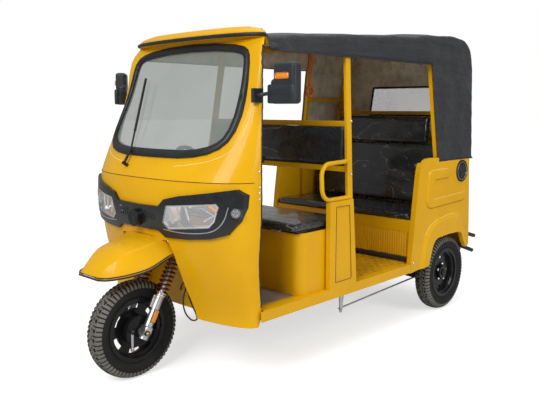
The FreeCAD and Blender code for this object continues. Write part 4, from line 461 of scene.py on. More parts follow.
def tube_piece(name, points, radius, material, body=None, cyclic=False, sides=3):
    """Round bar through points, a bevelled curve made into mesh."""
    curve = bpy.data.curves.new(name, "CURVE")
    curve.dimensions = "3D"
    curve.bevel_depth = radius
    curve.bevel_resolution = sides
    curve.use_fill_caps = True
    spline = curve.splines.new("POLY")
    spline.points.add(len(points) - 1)
    for knot, point in zip(spline.points, points):
        knot.co = (*point, 1)
    spline.use_cyclic_u = cyclic
    bar = bpy.data.objects.new(name, curve)
    bpy.context.scene.collection.objects.link(bar)
    bpy.context.view_layer.update()
    mesh = bpy.data.meshes.new_from_object(bar.evaluated_get(bpy.context.evaluated_depsgraph_get()))
    mesh.materials.clear()
    bpy.data.objects.remove(bar)
    return riding(link_piece(name, mesh, material), body)


def rounded_box(name, low, high, radius, material, segments=3, body=None):
    """Block between two corners with rounded edges."""
    build = bmesh.new()
    bmesh.ops.create_cube(build, size=1)
    size = Vector(high) - Vector(low)
    middle = (Vector(high) + Vector(low)) / 2
    for vertex in build.verts:
        vertex.co = vertex.co * size + middle
    edges = list(build.edges)
    bmesh.ops.bevel(build, geom=edges, offset=radius, segments=segments, profile=0.5, affect="EDGES")
    return riding(built_piece(name, build, material), body)


def rod_piece(name, start, end, radius, material, sides=20, body=None):
    """Round bar between two places."""
    build = bmesh.new()
    start = Vector(start)
    end = Vector(end)
    length = (end - start).length
    bmesh.ops.create_cone(build, cap_ends=True, segments=sides, radius1=radius, radius2=radius, depth=length)
    turn = (end - start).to_track_quat("Z", "Y").to_matrix().to_4x4()
    place = Matrix.Translation((start + end) / 2)
    bmesh.ops.transform(build, matrix=place @ turn, verts=build.verts)
    return riding(built_piece(name, build, material), body)

# Canopy, in metres, with y measured from the middle of the wheelbase
ROOF_LINE = [(-0.622, 1.762), (-0.043, 1.806), (0.455, 1.837), (0.844, 1.864), (1.206, 1.893),
             (1.361, 1.876), (1.447, 1.846), (1.480, 1.800)]
REAR_LINE = [(1.046, 1.398), (1.312, 1.420), (1.597, 1.481), (1.660, 1.486), (1.800, 1.480)]
BOW_YS = [-0.622, -0.300, 0.020, 0.480, 0.930, 1.360]
SHOULDER_X = 0.530
SHOULDER_R = 0.030
VALANCE_X = 0.543
VALANCE_Z = 1.680
LOW_X = 0.613
LOW_Z = 1.046
CROWN = 0.030
CURTAIN_Y = 0.915
WINDOW_HALF_W = 0.300
WINDOW_LOW_Z = 1.342
WINDOW_TOP_Z = 1.556
D_POST_CLEAR_Y = 1.395
CLOTH_CELL = 0.014
CLOTH_T = 0.0025
FLAP_T = 0.002
SMOOTH_ROUNDS = 3
WIDE_BAY = 0.45
SAG_AT_SIDE = 0.004
SAG_MORE = 0.010
HEM_R = 0.0040
BORDER_R = 0.0085
VALANCE_ROWS = 6
SHOULDER_STEPS = 4


def even(start, end, cell):
    """Evenly spaced places from one to another, about a cell apart, with both ends."""
    count = max(1, round(abs(end - start) / cell))
    return [start + (end - start) * i / count for i in range(count + 1)]


def side_x(z, top_z):
    """Half width of the canopy at a height."""
    return line_value([(LOW_Z, LOW_X), (VALANCE_Z, VALANCE_X), (top_z - SHOULDER_R, SHOULDER_X)], z)


def roof_half(top_z):
    """Half section from the low edge over the shoulder to the middle, as (x, z) points."""
    points = [(side_x(z, top_z), z) for z in even(LOW_Z, VALANCE_Z, CLOTH_CELL)[:-1]]
    for row in range(VALANCE_ROWS):
        z = VALANCE_Z + (top_z - SHOULDER_R - VALANCE_Z) * row / VALANCE_ROWS
        points.append((side_x(z, top_z), z))
    for step in range(SHOULDER_STEPS + 1):
        turn = math.pi / 2 * step / SHOULDER_STEPS
        x = SHOULDER_X - SHOULDER_R + SHOULDER_R * math.cos(turn)
        points.append((x, top_z - SHOULDER_R + SHOULDER_R * math.sin(turn)))
    flat = SHOULDER_X - SHOULDER_R
    for x in even(flat, 0, CLOTH_CELL)[1:]:
        points.append((x, top_z + CROWN * (1 - (x / flat) ** 2)))
    return points


def canopy_mesh():
    """Roof, valances, side curtains and rear curtain as one sheet of quads."""
    build = bmesh.new()
    front = even(ROOF_LINE[0][0], CURTAIN_Y, CLOTH_CELL)
    stations = front + even(CURTAIN_Y, ROOF_LINE[-1][0], CLOTH_CELL)[1:]
    grid = []
    for i, y in enumerate(stations):
        half = roof_half(line_value(ROOF_LINE, y))
        column = []
        for x, z in half + [(-x, z) for x, z in reversed(half[:-1])]:
            if i < len(front) - 1 and z < VALANCE_Z - CLOTH_CELL / 2:
                column.append(None)
                continue
            share = (y - CURTAIN_Y) / (ROOF_LINE[-1][0] - CURTAIN_Y)
            drawn = CURTAIN_Y + share * (line_value(REAR_LINE, z) - CURTAIN_Y)
            column.append(build.verts.new(at(x, y if share < 0 else drawn, z)))
        grid.append(column)
    for a, b in zip(grid, grid[1:]):
        for j in range(len(a) - 1):
            corners = (a[j], a[j + 1], b[j + 1], b[j])
            if None not in corners:
                build.faces.new(corners)
    rear_curtain(build, grid[-1])
    cut_window(build)
    return build


def rear_curtain(build, edge):
    """Rear curtain, a grid between the last side columns and the roof's rear edge."""
    flat_count = len(even(SHOULDER_X - SHOULDER_R, 0, CLOTH_CELL)) - 1
    middle = len(edge) // 2
    corner = middle - flat_count
    rows = []
    for left, right in zip(edge[:corner], reversed(edge[-corner:])):
        row = [left]
        for i in range(1, 2 * flat_count):
            place = left.co.lerp(right.co, i / (2 * flat_count))
            row.append(build.verts.new(place))
        rows.append(row + [right])
    rows.append(edge[corner:len(edge) - corner])
    for a, b in zip(rows, rows[1:]):
        for j in range(len(a) - 1):
            build.faces.new((a[j], b[j], b[j + 1], a[j + 1]))


def cut_window(build):
    """Opening for the clear window in the rear curtain."""
    planes = [((x, 0, 0), (1, 0, 0)) for x in (-WINDOW_HALF_W, WINDOW_HALF_W)]
    planes += [((0, 0, z), (0, 0, 1)) for z in (WINDOW_LOW_Z, WINDOW_TOP_Z)]
    rear_y = at(0, D_POST_CLEAR_Y, 0).y
    for place, normal in planes:
        near = [face for face in build.faces if face.calc_center_median().y > rear_y]
        geometry = set(near)
        for face in near:
            geometry.update(face.edges)
            geometry.update(face.verts)
        bmesh.ops.bisect_plane(build, geom=list(geometry), plane_co=place, plane_no=normal, dist=1e-5)
    inside = []
    for face in build.faces:
        middle = face.calc_center_median()
        if middle.y > rear_y and abs(middle.x) < WINDOW_HALF_W and WINDOW_LOW_Z < middle.z < WINDOW_TOP_Z:
            inside.append(face)
    bmesh.ops.delete(build, geom=inside, context="FACES")


def drape(build):
    """Sag between the bows, with folds and small wrinkles across the cloth."""
    soft = [v for v in build.verts if not v.is_boundary]
    for _ in range(SMOOTH_ROUNDS):
        bmesh.ops.smooth_vert(build, verts=soft, factor=0.5, use_axis_x=True, use_axis_y=True,
                              use_axis_z=True)
    move_vertices(build, drape_move)


def bow_sag(y):
    """Share of the sag at a place between two bows, less where the bows are close."""
    for low, high in zip(BOW_YS, BOW_YS[1:]):
        if low < y < high:
            t = (y - low) / (high - low)
            return 4 * t * (1 - t) * min(1.0, (high - low) / WIDE_BAY)
    return 0.0


def drape_move(vertex):
    """How far one vertex of the cloth moves from the plain form."""
    x, y, z = vertex.co - at(0, 0, 0)
    upward = max(0.0, vertex.normal.z)
    sideways = 1 - abs(vertex.normal.z)
    across = smooth_step(0.0, 0.12, SHOULDER_X + 0.02 - abs(x))
    drop = upward * bow_sag(y) * (SAG_AT_SIDE + SAG_MORE * across)
    roll = noise.noise(Vector((x * 1.5 + 3, y * 4.0 + 7, z * 1.5 + 1)))
    crease = noise.noise(Vector((x * 3.0 + z * 4.0, y * 11.0 - z * 6.0, z * 3.0)))
    pull = noise.noise(Vector((x * 9.0 + 5, y * 9.0 + 2, z * 2.2 + 8)))
    pucker = noise.noise(Vector((x * 6.0 + 1, y * 26.0 + z * 18.0 + 6, z * 8.0 + 2)))
    curtain = smooth_step(VALANCE_Z, VALANCE_Z - 0.15, z)
    depth = upward * (0.0045 * roll + 0.0030 * crease + 0.0015 * pucker)
    depth += sideways * (0.0040 * crease + 0.0022 * pucker + curtain * 0.0050 * pull)
    return vertex.normal * depth - Vector((0, 0, drop))


def boundary_loops(build):
    """Edges of the cloth as closed lines of points, the longest first."""
    left = {edge for edge in build.edges if edge.is_boundary}
    loops = []
    while left:
        edge = left.pop()
        first, here = edge.verts
        line = [first.co.copy(), here.co.copy()]
        while True:
            ahead = [e for e in here.link_edges if e in left]
            if not ahead:
                break
            left.discard(ahead[0])
            here = ahead[0].other_vert(here)
            if here == first:
                break
            line.append(here.co.copy())
        loops.append(line)
    return sorted(loops, key=len, reverse=True)


def make_canopy(cloth, lining, border):
    """Canvas canopy with its lining, hems and the border of its window."""
    build = canopy_mesh()
    bmesh.ops.reverse_faces(build, faces=build.faces)
    drape(build)
    loops = boundary_loops(build)
    canopy = built_piece("canopy_cloth", build, cloth)
    canopy.data.materials.append(lining)
    thicken(canopy, CLOTH_T, inner_slot=1)
    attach(canopy, "body")
    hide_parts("canopy")
    tube_piece("canopy_hem", loops[0], HEM_R, cloth, "body", cyclic=True, sides=2)
    tube_piece("window_border", loops[1], BORDER_R, border, "body", cyclic=True, sides=2)
    flap = mesh_piece("canopy_flap_left", *flap_sheet(), cloth)
    thicken(flap, FLAP_T)
    both(flap)


# Fold of cloth at the front top corner: its three corners, rows of its mesh and how far it bellies out
FLAP_TOP = (0.485, -0.634, 1.786)
FLAP_LOW = (0.549, -0.628, 1.682)
FLAP_BACK = (0.551, -0.560, 1.690)
FLAP_ROWS = 9
FLAP_BELLY = 0.010


def flap_sheet():
    """Triangular fold of cloth at the front top corner."""
    top, low, back = at(*FLAP_TOP), at(*FLAP_LOW), at(*FLAP_BACK)
    vertices = []
    for i in range(FLAP_ROWS):
        t = i / (FLAP_ROWS - 1)
        for j in range(FLAP_ROWS):
            u = j / (FLAP_ROWS - 1)
            belly = FLAP_BELLY * math.sin(math.pi * t) * (1 - u)
            place = top.lerp(low, t).lerp(top.lerp(back, t), u)
            vertices.append(place + Vector((belly, 0, 0)))
    return vertices, grid_faces(FLAP_ROWS, FLAP_ROWS)


# Stuffed pads: cell of their mesh, and how far the crown keeps from their edges
PAD_CELL = 0.014
PAD_LEAST_CELLS = 4
CROWN_POWER = 2.6
FOLD_DEPTH = 0.0020
SAG_DEPTH = 0.0022


def cut_cube(size):
    """Cube of edge 1, cut into the cells of a pad of the given size."""
    build = bmesh.new()
    bmesh.ops.create_cube(build, size=1)
    for axis in range(3):
        edges = [e for e in build.edges if abs((e.verts[0].co - e.verts[1].co).normalized()[axis]) > 0.9]
        cuts = max(PAD_LEAST_CELLS, round(size[axis] / PAD_CELL)) - 1
        bmesh.ops.subdivide_edges(build, edges=edges, cuts=cuts, use_grid_fill=True)
    return build


def crowned(unit, size, radius, crown):
    """Place on a rounded block with crowned faces; unit runs from -1 to 1 along each axis."""
    half = size / 2
    place = unit * half
    inner = Vector([max(radius - half[i], min(half[i] - radius, place[i])) for i in range(3)])
    away = place - inner
    if away.length > 1e-6:
        place = inner + away.normalized() * min(away.length, radius)
    bulge = [max(0.0, 1 - abs(unit[i]) ** CROWN_POWER) ** 0.5 for i in range(3)]
    for i in range(3):
        place[i] += crown[i] * bulge[i - 1] * bulge[i - 2] * unit[i]
    return place


def pad_move(vertex):
    """How far one vertex of a pad moves for folds and sags."""
    x, y, z = vertex.co
    fold = noise.noise(Vector((x * 7.0 + z * 9.0, y * 9.0, z * 12.0 - x * 5.0)))
    sag = noise.noise(Vector((x * 2.5 + 9, y * 3.0 + 1, z * 4.0 + 4)))
    return vertex.normal * (FOLD_DEPTH * fold + SAG_DEPTH * sag)


def puffed(name, low, high, radius, material, crown, shear=0.0, body="body", nodes=()):
    """Stuffed pad between two corners, leaning back by shear over its height."""
    low = Vector(low)
    size = Vector(high) - low
    middle = low + size / 2
    build = cut_cube(size)
    for vertex in build.verts:
        vertex.co = middle + crowned(vertex.co * 2, size, radius, crown)
        vertex.co.y += shear * (vertex.co.z - low.z) / size.z
    move_vertices(build, pad_move)
    pad = riding(built_piece(name, build, material), body)
    if nodes:
        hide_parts(*nodes)


# Tyres: lugs around the tread, steps of the mesh, and half sections as (x, radius) from bead to crown
TYRE_LUGS = 64
TYRE_STEPS = 384
TYRE_OUTER = [
    (0.0378, 0.1526, 0), (0.0378, 0.160, 0), (0.0375, 0.169, 0), (0.0410, 0.1735, 0),
    (0.0468, 0.181, 0), (0.0515, 0.191, 0), (0.0538, 0.202, 0), (0.0540, 0.212, 0), (0.0528, 0.222, 0.1),
    (0.0512, 0.230, 0.6), (0.0495, 0.237, 1), (0.0465, 0.2432, 1), (0.0420, 0.2476, 1),
    (0.0375, 0.2503, 1), (0.0330, 0.2523, 1), (0.0280, 0.2540, 1), (0.0225, 0.2554, 1),
    (0.0170, 0.2564, 1), (0.0115, 0.2570, 1), (0.0060, 0.2574, 1), (0, 0.2575, 1),
]
TYRE_INNER = [(0.030, 0.178, 0), (0.046, 0.196, 0), (0.047, 0.215, 0), (0.040, 0.236, 0), (0, 0.246, 0)]
# Tread pattern: distances across, groove depths and shares of a lug
SHOULDER_ACROSS = 0.0315
SHOULDER_GAP = (0.25, 0.36, 0.0065)
ZIGZAG = 0.0045
GROOVE_DEPTH = 0.0060
OUTER_GROOVE = (0.0255, 0.0305)
INNER_GROOVE = (0.0075, 0.0115)
SLANT_PITCH = 28
SLANT_SHARE = 0.26
SLANT_DEPTH = 0.0052


def both_halves(half):
    """Section of (x, radius, tread share) points on both sides of the middle."""
    return half + [(-x, r, share) for x, r, share in reversed(half[:-1])]


def tread_cut(x, around):
    """Depth of the tread pattern at a place across the tyre and around it."""
    across = abs(x)
    lug = around * TYRE_LUGS
    if across > SHOULDER_ACROSS:
        start, share, depth = SHOULDER_GAP
        return depth if (lug + start) % 1 < share else 0.0
    zigzag = ZIGZAG * abs(((lug / 2) % 1) * 4 - 2) - ZIGZAG
    if OUTER_GROOVE[0] < across + zigzag * 0.5 < OUTER_GROOVE[1]:
        return GROOVE_DEPTH
    if INNER_GROOVE[0] < across + zigzag < INNER_GROOVE[1]:
        return GROOVE_DEPTH
    slant = (lug + (0.5 if x > 0 else 0.0) + across * SLANT_PITCH) % 1
    if INNER_GROOVE[1] <= across + zigzag <= OUTER_GROOVE[0] and slant < SLANT_SHARE:
        return SLANT_DEPTH
    return 0.0


def grey_tread(tyre, section):
    """Lighter grey material on the faces of the tread that touch the road."""
    count = len(section)
    for face in tyre.data.polygons:
        x, _, share = section[face.index % count]
        next_x, _, next_share = section[(face.index + 1) % count]
        if share and next_share and not tread_cut((x + next_x) / 2, (face.index // count) / TYRE_STEPS):
            face.material_index = 1


def make_tyre(name, middle, material, tread_grey, body, node):
    """Tyre with a smooth sidewall, shoulder lugs and a blocked tread."""
    section = both_halves(TYRE_OUTER) + list(reversed(both_halves(TYRE_INNER)))
    vertices = []
    for step in range(TYRE_STEPS):
        around = step / TYRE_STEPS
        angle = 2 * math.pi * around
        for x, r, share in section:
            low = r - share * tread_cut(x, around) if share else r
            vertices.append(middle + Vector((x, low * math.sin(angle), low * math.cos(angle))))
    total = len(vertices)
    faces = [[i % total for i in face] for face in grid_faces(len(section), TYRE_STEPS + 1, True)]
    tyre = mesh_piece(name, vertices, faces, material, body)
    tyre.data.materials.append(tread_grey)
    grey_tread(tyre, section)
    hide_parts(node)


def make_tyres(rubber, tread_grey):
    """The three tyres."""
    make_tyre("front_tyre_tread", FRONT_HUB, rubber, tread_grey, "front_wheel", "front_tyre")
    for side, hub in REAR_HUBS.items():
        make_tyre("rear_tyre_tread_" + side, hub, rubber, tread_grey, "rear_wheel_" + side, "rear_tyre_" + side)


COIL_STEPS = 32
STANCHION_R = 0.014
STANCHION_PAST = 0.004


def make_springs(paint, steel):
    """Fork springs as open coils around a bright tube."""
    steps = round(SPRING_TURNS * COIL_STEPS)
    for side in (-1, 1):
        points = []
        for step in range(steps + 1):
            share = step / steps
            turn = 2 * math.pi * SPRING_TURNS * share
            up = SPRING_LOW + (SPRING_TOP - SPRING_LOW) * share
            x = side * LEG_X + SPRING_R * math.cos(turn)
            points.append(on_fork(x, SPRING_R * math.sin(turn) - LEG_AHEAD, up))
        name = "fork_spring_coil_" + side_name(side)
        coil = tube_piece(name, points, SPRING_WIRE_R, paint, "steering", sides=2)
        if side > 0:
            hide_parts("fork_springs")
        low = on_fork(side * LEG_X, -LEG_AHEAD, SPRING_LOW - STANCHION_PAST)
        top = on_fork(side * LEG_X, -LEG_AHEAD, SPRING_TOP + STANCHION_PAST)
        rod_piece("fork_stanchion_" + side_name(side), low, top, STANCHION_R, steel, 28, "steering")


# Trims lie on the surfaces of the nodes, where lines from the front or from the left meet them
FRONT_START_Y = -3.0
SIDE_START_X = 2.0
TREES = {}


def surface(node):
    """Surface of a node, kept for the lines that look for it."""
    if node not in TREES:
        mesh = NODES[node].data
        corners = [v.co.copy() for v in mesh.vertices]
        TREES[node] = BVHTree.FromPolygons(corners, [tuple(p.vertices) for p in mesh.polygons])
    return TREES[node]


def cast(node, start, direction):
    """Place and outward normal where a line first meets a CAD node, or None."""
    place, normal, _, _ = surface(node).ray_cast(Vector(start), Vector(direction).normalized())
    if place is None:
        return None
    if normal.dot(Vector(direction)) > 0:
        normal = -normal
    return place, normal


def from_front(node, x, z):
    """Where a node is met from the front at x and z."""
    return cast(node, (x, FRONT_START_Y, z), (0, 1, 0))


def from_left(node, y, z):
    """Where a node is met from the left at y, from the wheelbase's middle, and z."""
    return cast(node, at(SIDE_START_X, y, z), (-1, 0, 0))


def laid(hits, proud):
    """Places a little outside the surface that was met."""
    return [hit[0] + hit[1] * proud for hit in hits if hit]


def front_points(node, points, proud):
    """Points of (x, z) laid on the front of a node."""
    return laid([from_front(node, x, z) for x, z in points], proud)


def side_points(node, points, proud):
    """Points of (y, z) laid on the left side of a node."""
    return laid([from_left(node, y, z) for y, z in points], proud)


def line_pairs(points, closed):
    """Neighbouring points of a line."""
    points = [Vector(p) for p in points]
    pairs = list(zip(points, points[1:]))
    return pairs + [(points[-1], points[0])] if closed else pairs


def dense(points, step=0.012, closed=False):
    """Points put closer together along straight runs."""
    found = []
    for a, b in line_pairs(points, closed):
        count = max(1, round((b - a).length / step))
        found += [a.lerp(b, i / count) for i in range(count)]
    return found if closed else found + [Vector(points[-1])]


def soft_line(points, rounds=2, closed=False):
    """Line with its corners cut, so that it turns softly."""
    line = [Vector(p) for p in points]
    for _ in range(rounds):
        cut = []
        for a, b in line_pairs(line, closed):
            cut += [a.lerp(b, 0.25), a.lerp(b, 0.75)]
        line = cut if closed else [line[0]] + cut + [line[-1]]
    return line


def mirrored(points):
    """Points of one side on the other side, in reverse order."""
    return [Vector((-p.x, p.y, p.z)) for p in reversed(points)]


def mirror_copy(piece, name, body="body"):
    """Copy of a piece on the other side of the vehicle."""
    mesh = piece.data.copy()
    for vertex in mesh.vertices:
        vertex.co.x = -vertex.co.x
    mesh.flip_normals()
    copy = bpy.data.objects.new(name, mesh)
    bpy.context.scene.collection.objects.link(copy)
    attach(copy, body)
    return copy


def both(piece, body="body"):
    """A left piece and its mirror copy, riding on a body."""
    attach(piece, body)
    mirror_copy(piece, piece.name.replace("_left", "") + "_right", body)


def strip(name, node, points, radius, material, proud=0.001, step=0.015):
    """Thin round line laid along the front of a node."""
    line = front_points(node, dense(points, step), proud)
    tube_piece(name, line, radius, material, "body", sides=2)


# Windshield outline of one side and the crease outside it, which gets a line of painted highlight, as x and
# height from the ground
SHIELD_LINE = [
    (0.0, 1.150), (0.230, 1.152), (0.330, 1.161), (0.400, 1.176), (0.452, 1.201), (0.484, 1.235),
    (0.501, 1.285), (0.505, 1.362), (0.490, 1.524), (0.478, 1.618), (0.467, 1.655), (0.448, 1.682),
    (0.414, 1.700), (0.349, 1.714), (0.200, 1.729), (0.0, 1.734),
]
FRAME_CREASE = [(0.543, 1.600), (0.542, 1.435), (0.541, 1.300), (0.532, 1.225), (0.500, 1.180),
                (0.430, 1.145), (0.330, 1.125), (0.220, 1.112)]
CREASE_R = 0.0024
CREASE_SUNK = -0.0008
SEAL_PROUD = 0.009
# Section of the rubber bead: distance inward from the outline and how far it stands proud
BEAD_SECTION = [(0.001, -0.004), (0.003, 0.0100), (0.010, 0.0150), (0.019, 0.0170), (0.028, 0.0150),
                (0.0345, 0.0090), (0.0375, -0.002)]
BEAD_STEP = 0.03


def shrunk(outline, amount):
    """Closed outline of (x, z) points moved inward."""
    count = len(outline)
    found = []
    for i in range(count):
        along = (Vector(outline[(i + 1) % count]) - Vector(outline[i - 1])).normalized()
        found.append(Vector(outline[i]) + Vector((-along.y, along.x)) * amount)
    return found


def front_y(x, z):
    """Front surface of the windshield frame at a place; the seal stands proud of it."""
    hit = from_front("windshield_frame", x, z)
    return hit[0].y if hit else from_front("windshield_seal", x, z)[0].y + SEAL_PROUD


def make_shield_trim(looks):
    """Rounded rubber bead over the windshield seal, and a pale line of painted highlight along the crease
    beside it.
    """
    outline = SHIELD_LINE + [(-x, z) for x, z in reversed(SHIELD_LINE[1:-1])]
    outline = soft_line(dense(outline, BEAD_STEP, True), 2, True)
    vertices = []
    for inward, proud in BEAD_SECTION:
        vertices += [Vector((x, front_y(x, z) - proud, z)) for x, z in shrunk(outline, inward)]
    faces = grid_faces(len(outline), len(BEAD_SECTION), True)
    mesh_piece("windshield_bead", vertices, faces, looks["seal"], "body")
    for side in (-1, 1):
        # The crease beside the frame gets a thin pale line of painted highlight
        line = soft_line([(side * x, z) for x, z in FRAME_CREASE], 2)
        name = "frame_crease_highlight_" + side_name(side)
        strip(name, "windshield_frame", line, CREASE_R, looks["cream"], CREASE_SUNK)


VISOR_LIP = 0.011
VISOR_AIM_Y = -0.60
VISOR_TRIM_R = 0.0100
VISOR_STEPS = 48
VISOR_FLATNESS = 0.9
VISOR_PROUD = 0.002
BODY_SEAM_Z = 1.045
BODY_SEAM_HALF_W = 0.612
BODY_SEAM_R = 0.0017
SEAM_BELOW = 0.002
SEAM_PROUD = 0.0004
SEAM_STEPS = 40


def make_front_trims(looks):
    """Visor trim and body seam."""
    lip_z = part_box("roof_cap")[0].z + VISOR_LIP
    hits = []
    for step in range(-VISOR_STEPS, VISOR_STEPS + 1):
        turn = step / VISOR_STEPS * math.pi / 2
        direction = Vector((math.sin(turn), -math.cos(turn) * VISOR_FLATNESS, 0))
        start = at(0, VISOR_AIM_Y, lip_z) + direction * 2
        hits.append(cast("roof_cap", start, -direction))
    tube_piece("visor_trim", laid(hits, VISOR_PROUD), VISOR_TRIM_R, looks["seal"], "body")
    seam = []
    for step in range(-SEAM_STEPS, SEAM_STEPS + 1):
        x = BODY_SEAM_HALF_W * math.sin(step / SEAM_STEPS * math.pi / 2)
        hit = from_front("nose_panel", x, BODY_SEAM_Z - SEAM_BELOW)
        if hit:
            seam.append(hit[0] + Vector((0, -SEAM_PROUD, SEAM_BELOW)))
    tube_piece("body_seam", seam, BODY_SEAM_R, looks["seam"], "body", sides=2)


EDGE_LOW_Z = 0.42
EDGE_TOP_Z = 1.70
EDGE_STEPS = 60
EDGE_RUBBER_R = 0.0055
EDGE_OFFSET = Vector((-0.003, 0.002, 0))
EDGE_SEARCH_Y = (-0.60, -0.80)
EDGE_SEARCH_STEP = 0.003


def rear_edge(node, z):
    """Hindmost place of a front panel's left side at a height, or None."""
    y = EDGE_SEARCH_Y[0]
    while y > EDGE_SEARCH_Y[1]:
        hit = from_left(node, y, z)
        if hit:
            return hit[0]
        y -= EDGE_SEARCH_STEP
    return None


def door_edge(looks):
    """Black rubber edging down the rear edge of the front pillar."""
    points = []
    for step in range(EDGE_STEPS + 1):
        z = EDGE_LOW_Z + (EDGE_TOP_Z - EDGE_LOW_Z) * step / EDGE_STEPS
        place = rear_edge("nose_panel" if z < BODY_SEAM_Z else "windshield_frame", z)
        if place:
            points.append(place + EDGE_OFFSET)
    both(tube_piece("door_edge_rubber_left", points, EDGE_RUBBER_R, looks["seal"], sides=2))


def ring_piece(name, middle, axis, radius, wire, material, body="body", steps=48):
    """Round ring about an axis."""
    axis = Vector(axis).normalized()
    across = axis.orthogonal().normalized()
    other = axis.cross(across)
    points = []
    for step in range(steps):
        turn = 2 * math.pi * step / steps
        points.append(Vector(middle) + across * radius * math.cos(turn) + other * radius * math.sin(turn))
    tube_piece(name, points, wire, material, body, cyclic=True, sides=2)


# Lamp panel, as x and height on the front of the nose
SILVER_TRIM = [(0.205, 0.803), (0.312, 0.795), (0.426, 0.801), (0.500, 0.818), (0.541, 0.868),
               (0.557, 0.935)]
SILVER_TRIM_R = 0.0028
SILVER_TRIM_PROUD = 0.0012
SILVER_MARKS = [(-0.141, 0.889), (-0.129, 0.864)]
SILVER_MARK_HALF_W = 0.008
SILVER_MARK_R = 0.0022
LOUVRE_XS = (0.075, 0.095, 0.115, 0.135)
LOUVRE_TOP_Z = 0.886
LOUVRE_LOW_Z = 0.845
LOUVRE_DROP = 0.004
LOUVRE_LEAN = 0.012
LOUVRE_R = 0.0016
HORN_Z = 0.841
HORN_RINGS = (0.040, 0.030, 0.018)
HORN_WIRE_R = 0.0016
HORN_PROUD = 0.0005
ROUND_LAMP_AT = (0.585, -0.906, 0.907)
ROUND_LAMP_VIEW = (1.6, -1.83, 0.907)
ROUND_LAMP_RINGS = [("ring", 0.001, 0.026, 0.0032, "plastic"), ("inner", 0.003, 0.013, 0.0016, "silver")]
ROUND_LAMP_BACK = (0.008, 0.006)
ROUND_LAMP_BACK_R = 0.0225
# Shapes behind the headlamp lens, each with its points, depth and radius
LAMP_SHAPES = [
    ("lamp_divider_{}", [(0.412, 0.950), (0.418, 0.900), (0.428, 0.840)], -0.010, 0.0085, "silver", 2),
    ("lamp_facet_{}_1", [(0.250, 0.905), (0.268, 0.835)], -0.012, 0.0055, "chrome", 2),
    ("lamp_facet_{}_2", [(0.300, 0.925), (0.318, 0.855)], -0.012, 0.0055, "chrome", 2),
    ("lamp_facet_{}_3", [(0.350, 0.930), (0.368, 0.860)], -0.012, 0.0055, "chrome", 2),
    ("lamp_chevron_{}", [(0.445, 0.925), (0.500, 0.893), (0.450, 0.862)], -0.010, 0.0045, "chrome", 2),
    ("lamp_amber_{}", [(0.478, 0.938), (0.512, 0.912)], -0.009, 0.0075, "amber", 3),
]


def make_face(looks):
    """Trim of the lamp panel: silver edges, louvres, horn rings and lamps."""
    for side in (-1, 1):
        tag = side_name(side)
        trim = soft_line([(side * x, z) for x, z in SILVER_TRIM], 2)
        strip("silver_trim_" + tag, "lamp_fascia", trim, SILVER_TRIM_R, looks["silver"], SILVER_TRIM_PROUD)
        for i, x in enumerate(LOUVRE_XS):
            run = [(side * x, LOUVRE_TOP_Z - LOUVRE_DROP * i), (side * (x + LOUVRE_LEAN), LOUVRE_LOW_Z)]
            strip(f"louvre_{tag}_{i + 1}", "lamp_fascia", run, LOUVRE_R, looks["plastic"])
        round_lamp(looks, side, tag)
        lamp_inside(looks, side, tag)
    horn = from_front("lamp_fascia", 0, HORN_Z)[0] - Vector((0, HORN_PROUD, 0))
    for radius in HORN_RINGS:
        name = f"horn_ring_{millimetres(radius)}"
        ring_piece(name, horn, (0, 1, 0), radius, HORN_WIRE_R, looks["plastic"])
    for x, z in SILVER_MARKS:
        run = [(x - SILVER_MARK_HALF_W, z), (x + SILVER_MARK_HALF_W, z)]
        strip(f"silver_mark_{millimetres(z)}", "lamp_fascia", run, SILVER_MARK_R, looks["silver"])


def round_lamp(looks, side, tag):
    """Bezel rings and blank disc of the small round lamp."""
    start = at(*ROUND_LAMP_VIEW)
    aim = at(*ROUND_LAMP_AT)
    start.x *= side
    aim.x *= side
    place, normal = cast("headlamp_lenses", start, aim - start)
    for label, depth, radius, wire, look in ROUND_LAMP_RINGS:
        middle = place - normal * depth
        ring_piece(f"round_lamp_{label}_{tag}", middle, normal, radius, wire, looks[look])
    back = [place - normal * depth for depth in ROUND_LAMP_BACK]
    rod_piece("round_lamp_back_" + tag, *back, ROUND_LAMP_BACK_R, looks["smoke"], body="body")


def lamp_inside(looks, side, tag):
    """Divider, facets, chevron and amber insert behind the headlamp lens."""
    for name, points, depth, radius, look, sides in LAMP_SHAPES:
        line = front_points("headlamp_lenses", [(side * x, z) for x, z in points], depth)
        if len(line) == len(points):
            tube_piece(name.format(tag), line, radius, looks[look], "body", sides=sides)


# Front mudguard: y, half width, lower edge, shoulder half width, shoulder height and crown height
GUARD_STATIONS = [
    (-0.984, 0.2105, 0.6545, 0.1445, 0.7390, 0.7585),
    (-1.016, 0.208, 0.650, 0.142, 0.738, 0.757),
    (-1.117, 0.192, 0.606, 0.128, 0.708, 0.738),
    (-1.218, 0.172, 0.588, 0.112, 0.680, 0.716),
    (-1.306, 0.128, 0.578, 0.080, 0.622, 0.648),
    (-1.345, 0.084, 0.577, 0.050, 0.584, 0.592),
]
GUARD_STEPS = 14
GUARD_T = 0.004
GUARD_SIDE_STEPS = (0, 0.15, 0.3, 0.45, 0.6, 0.75, 0.88, 0.95, 1)
GUARD_TOP_STEPS = (0.03, 0.08, 0.2, 0.35, 0.5, 0.65, 0.8, 0.92, 1)
GUARD_BOW = 0.03
GUARD_CROWN_SHARE = 0.55
GUARD_JOINT = (0.209, 0.655, 0.143, 0.739, 0.759)
EDGE_TUBE_R = 0.0052
EDGE_LINE_R = 0.0030
EDGE_LINE_UP = 0.011
EDGE_LINE_OUT = 0.001
JOINT_PROUD = 0.0012


def blended(a, b, c, d, t):
    """Smooth step through four values, between the middle two."""
    slope = (c - a) * t
    bend = (2 * a - 5 * b + 4 * c - d) * t * t
    twist = (3 * b - a - 3 * c + d) * t ** 3
    return 0.5 * (2 * b + slope + bend + twist)


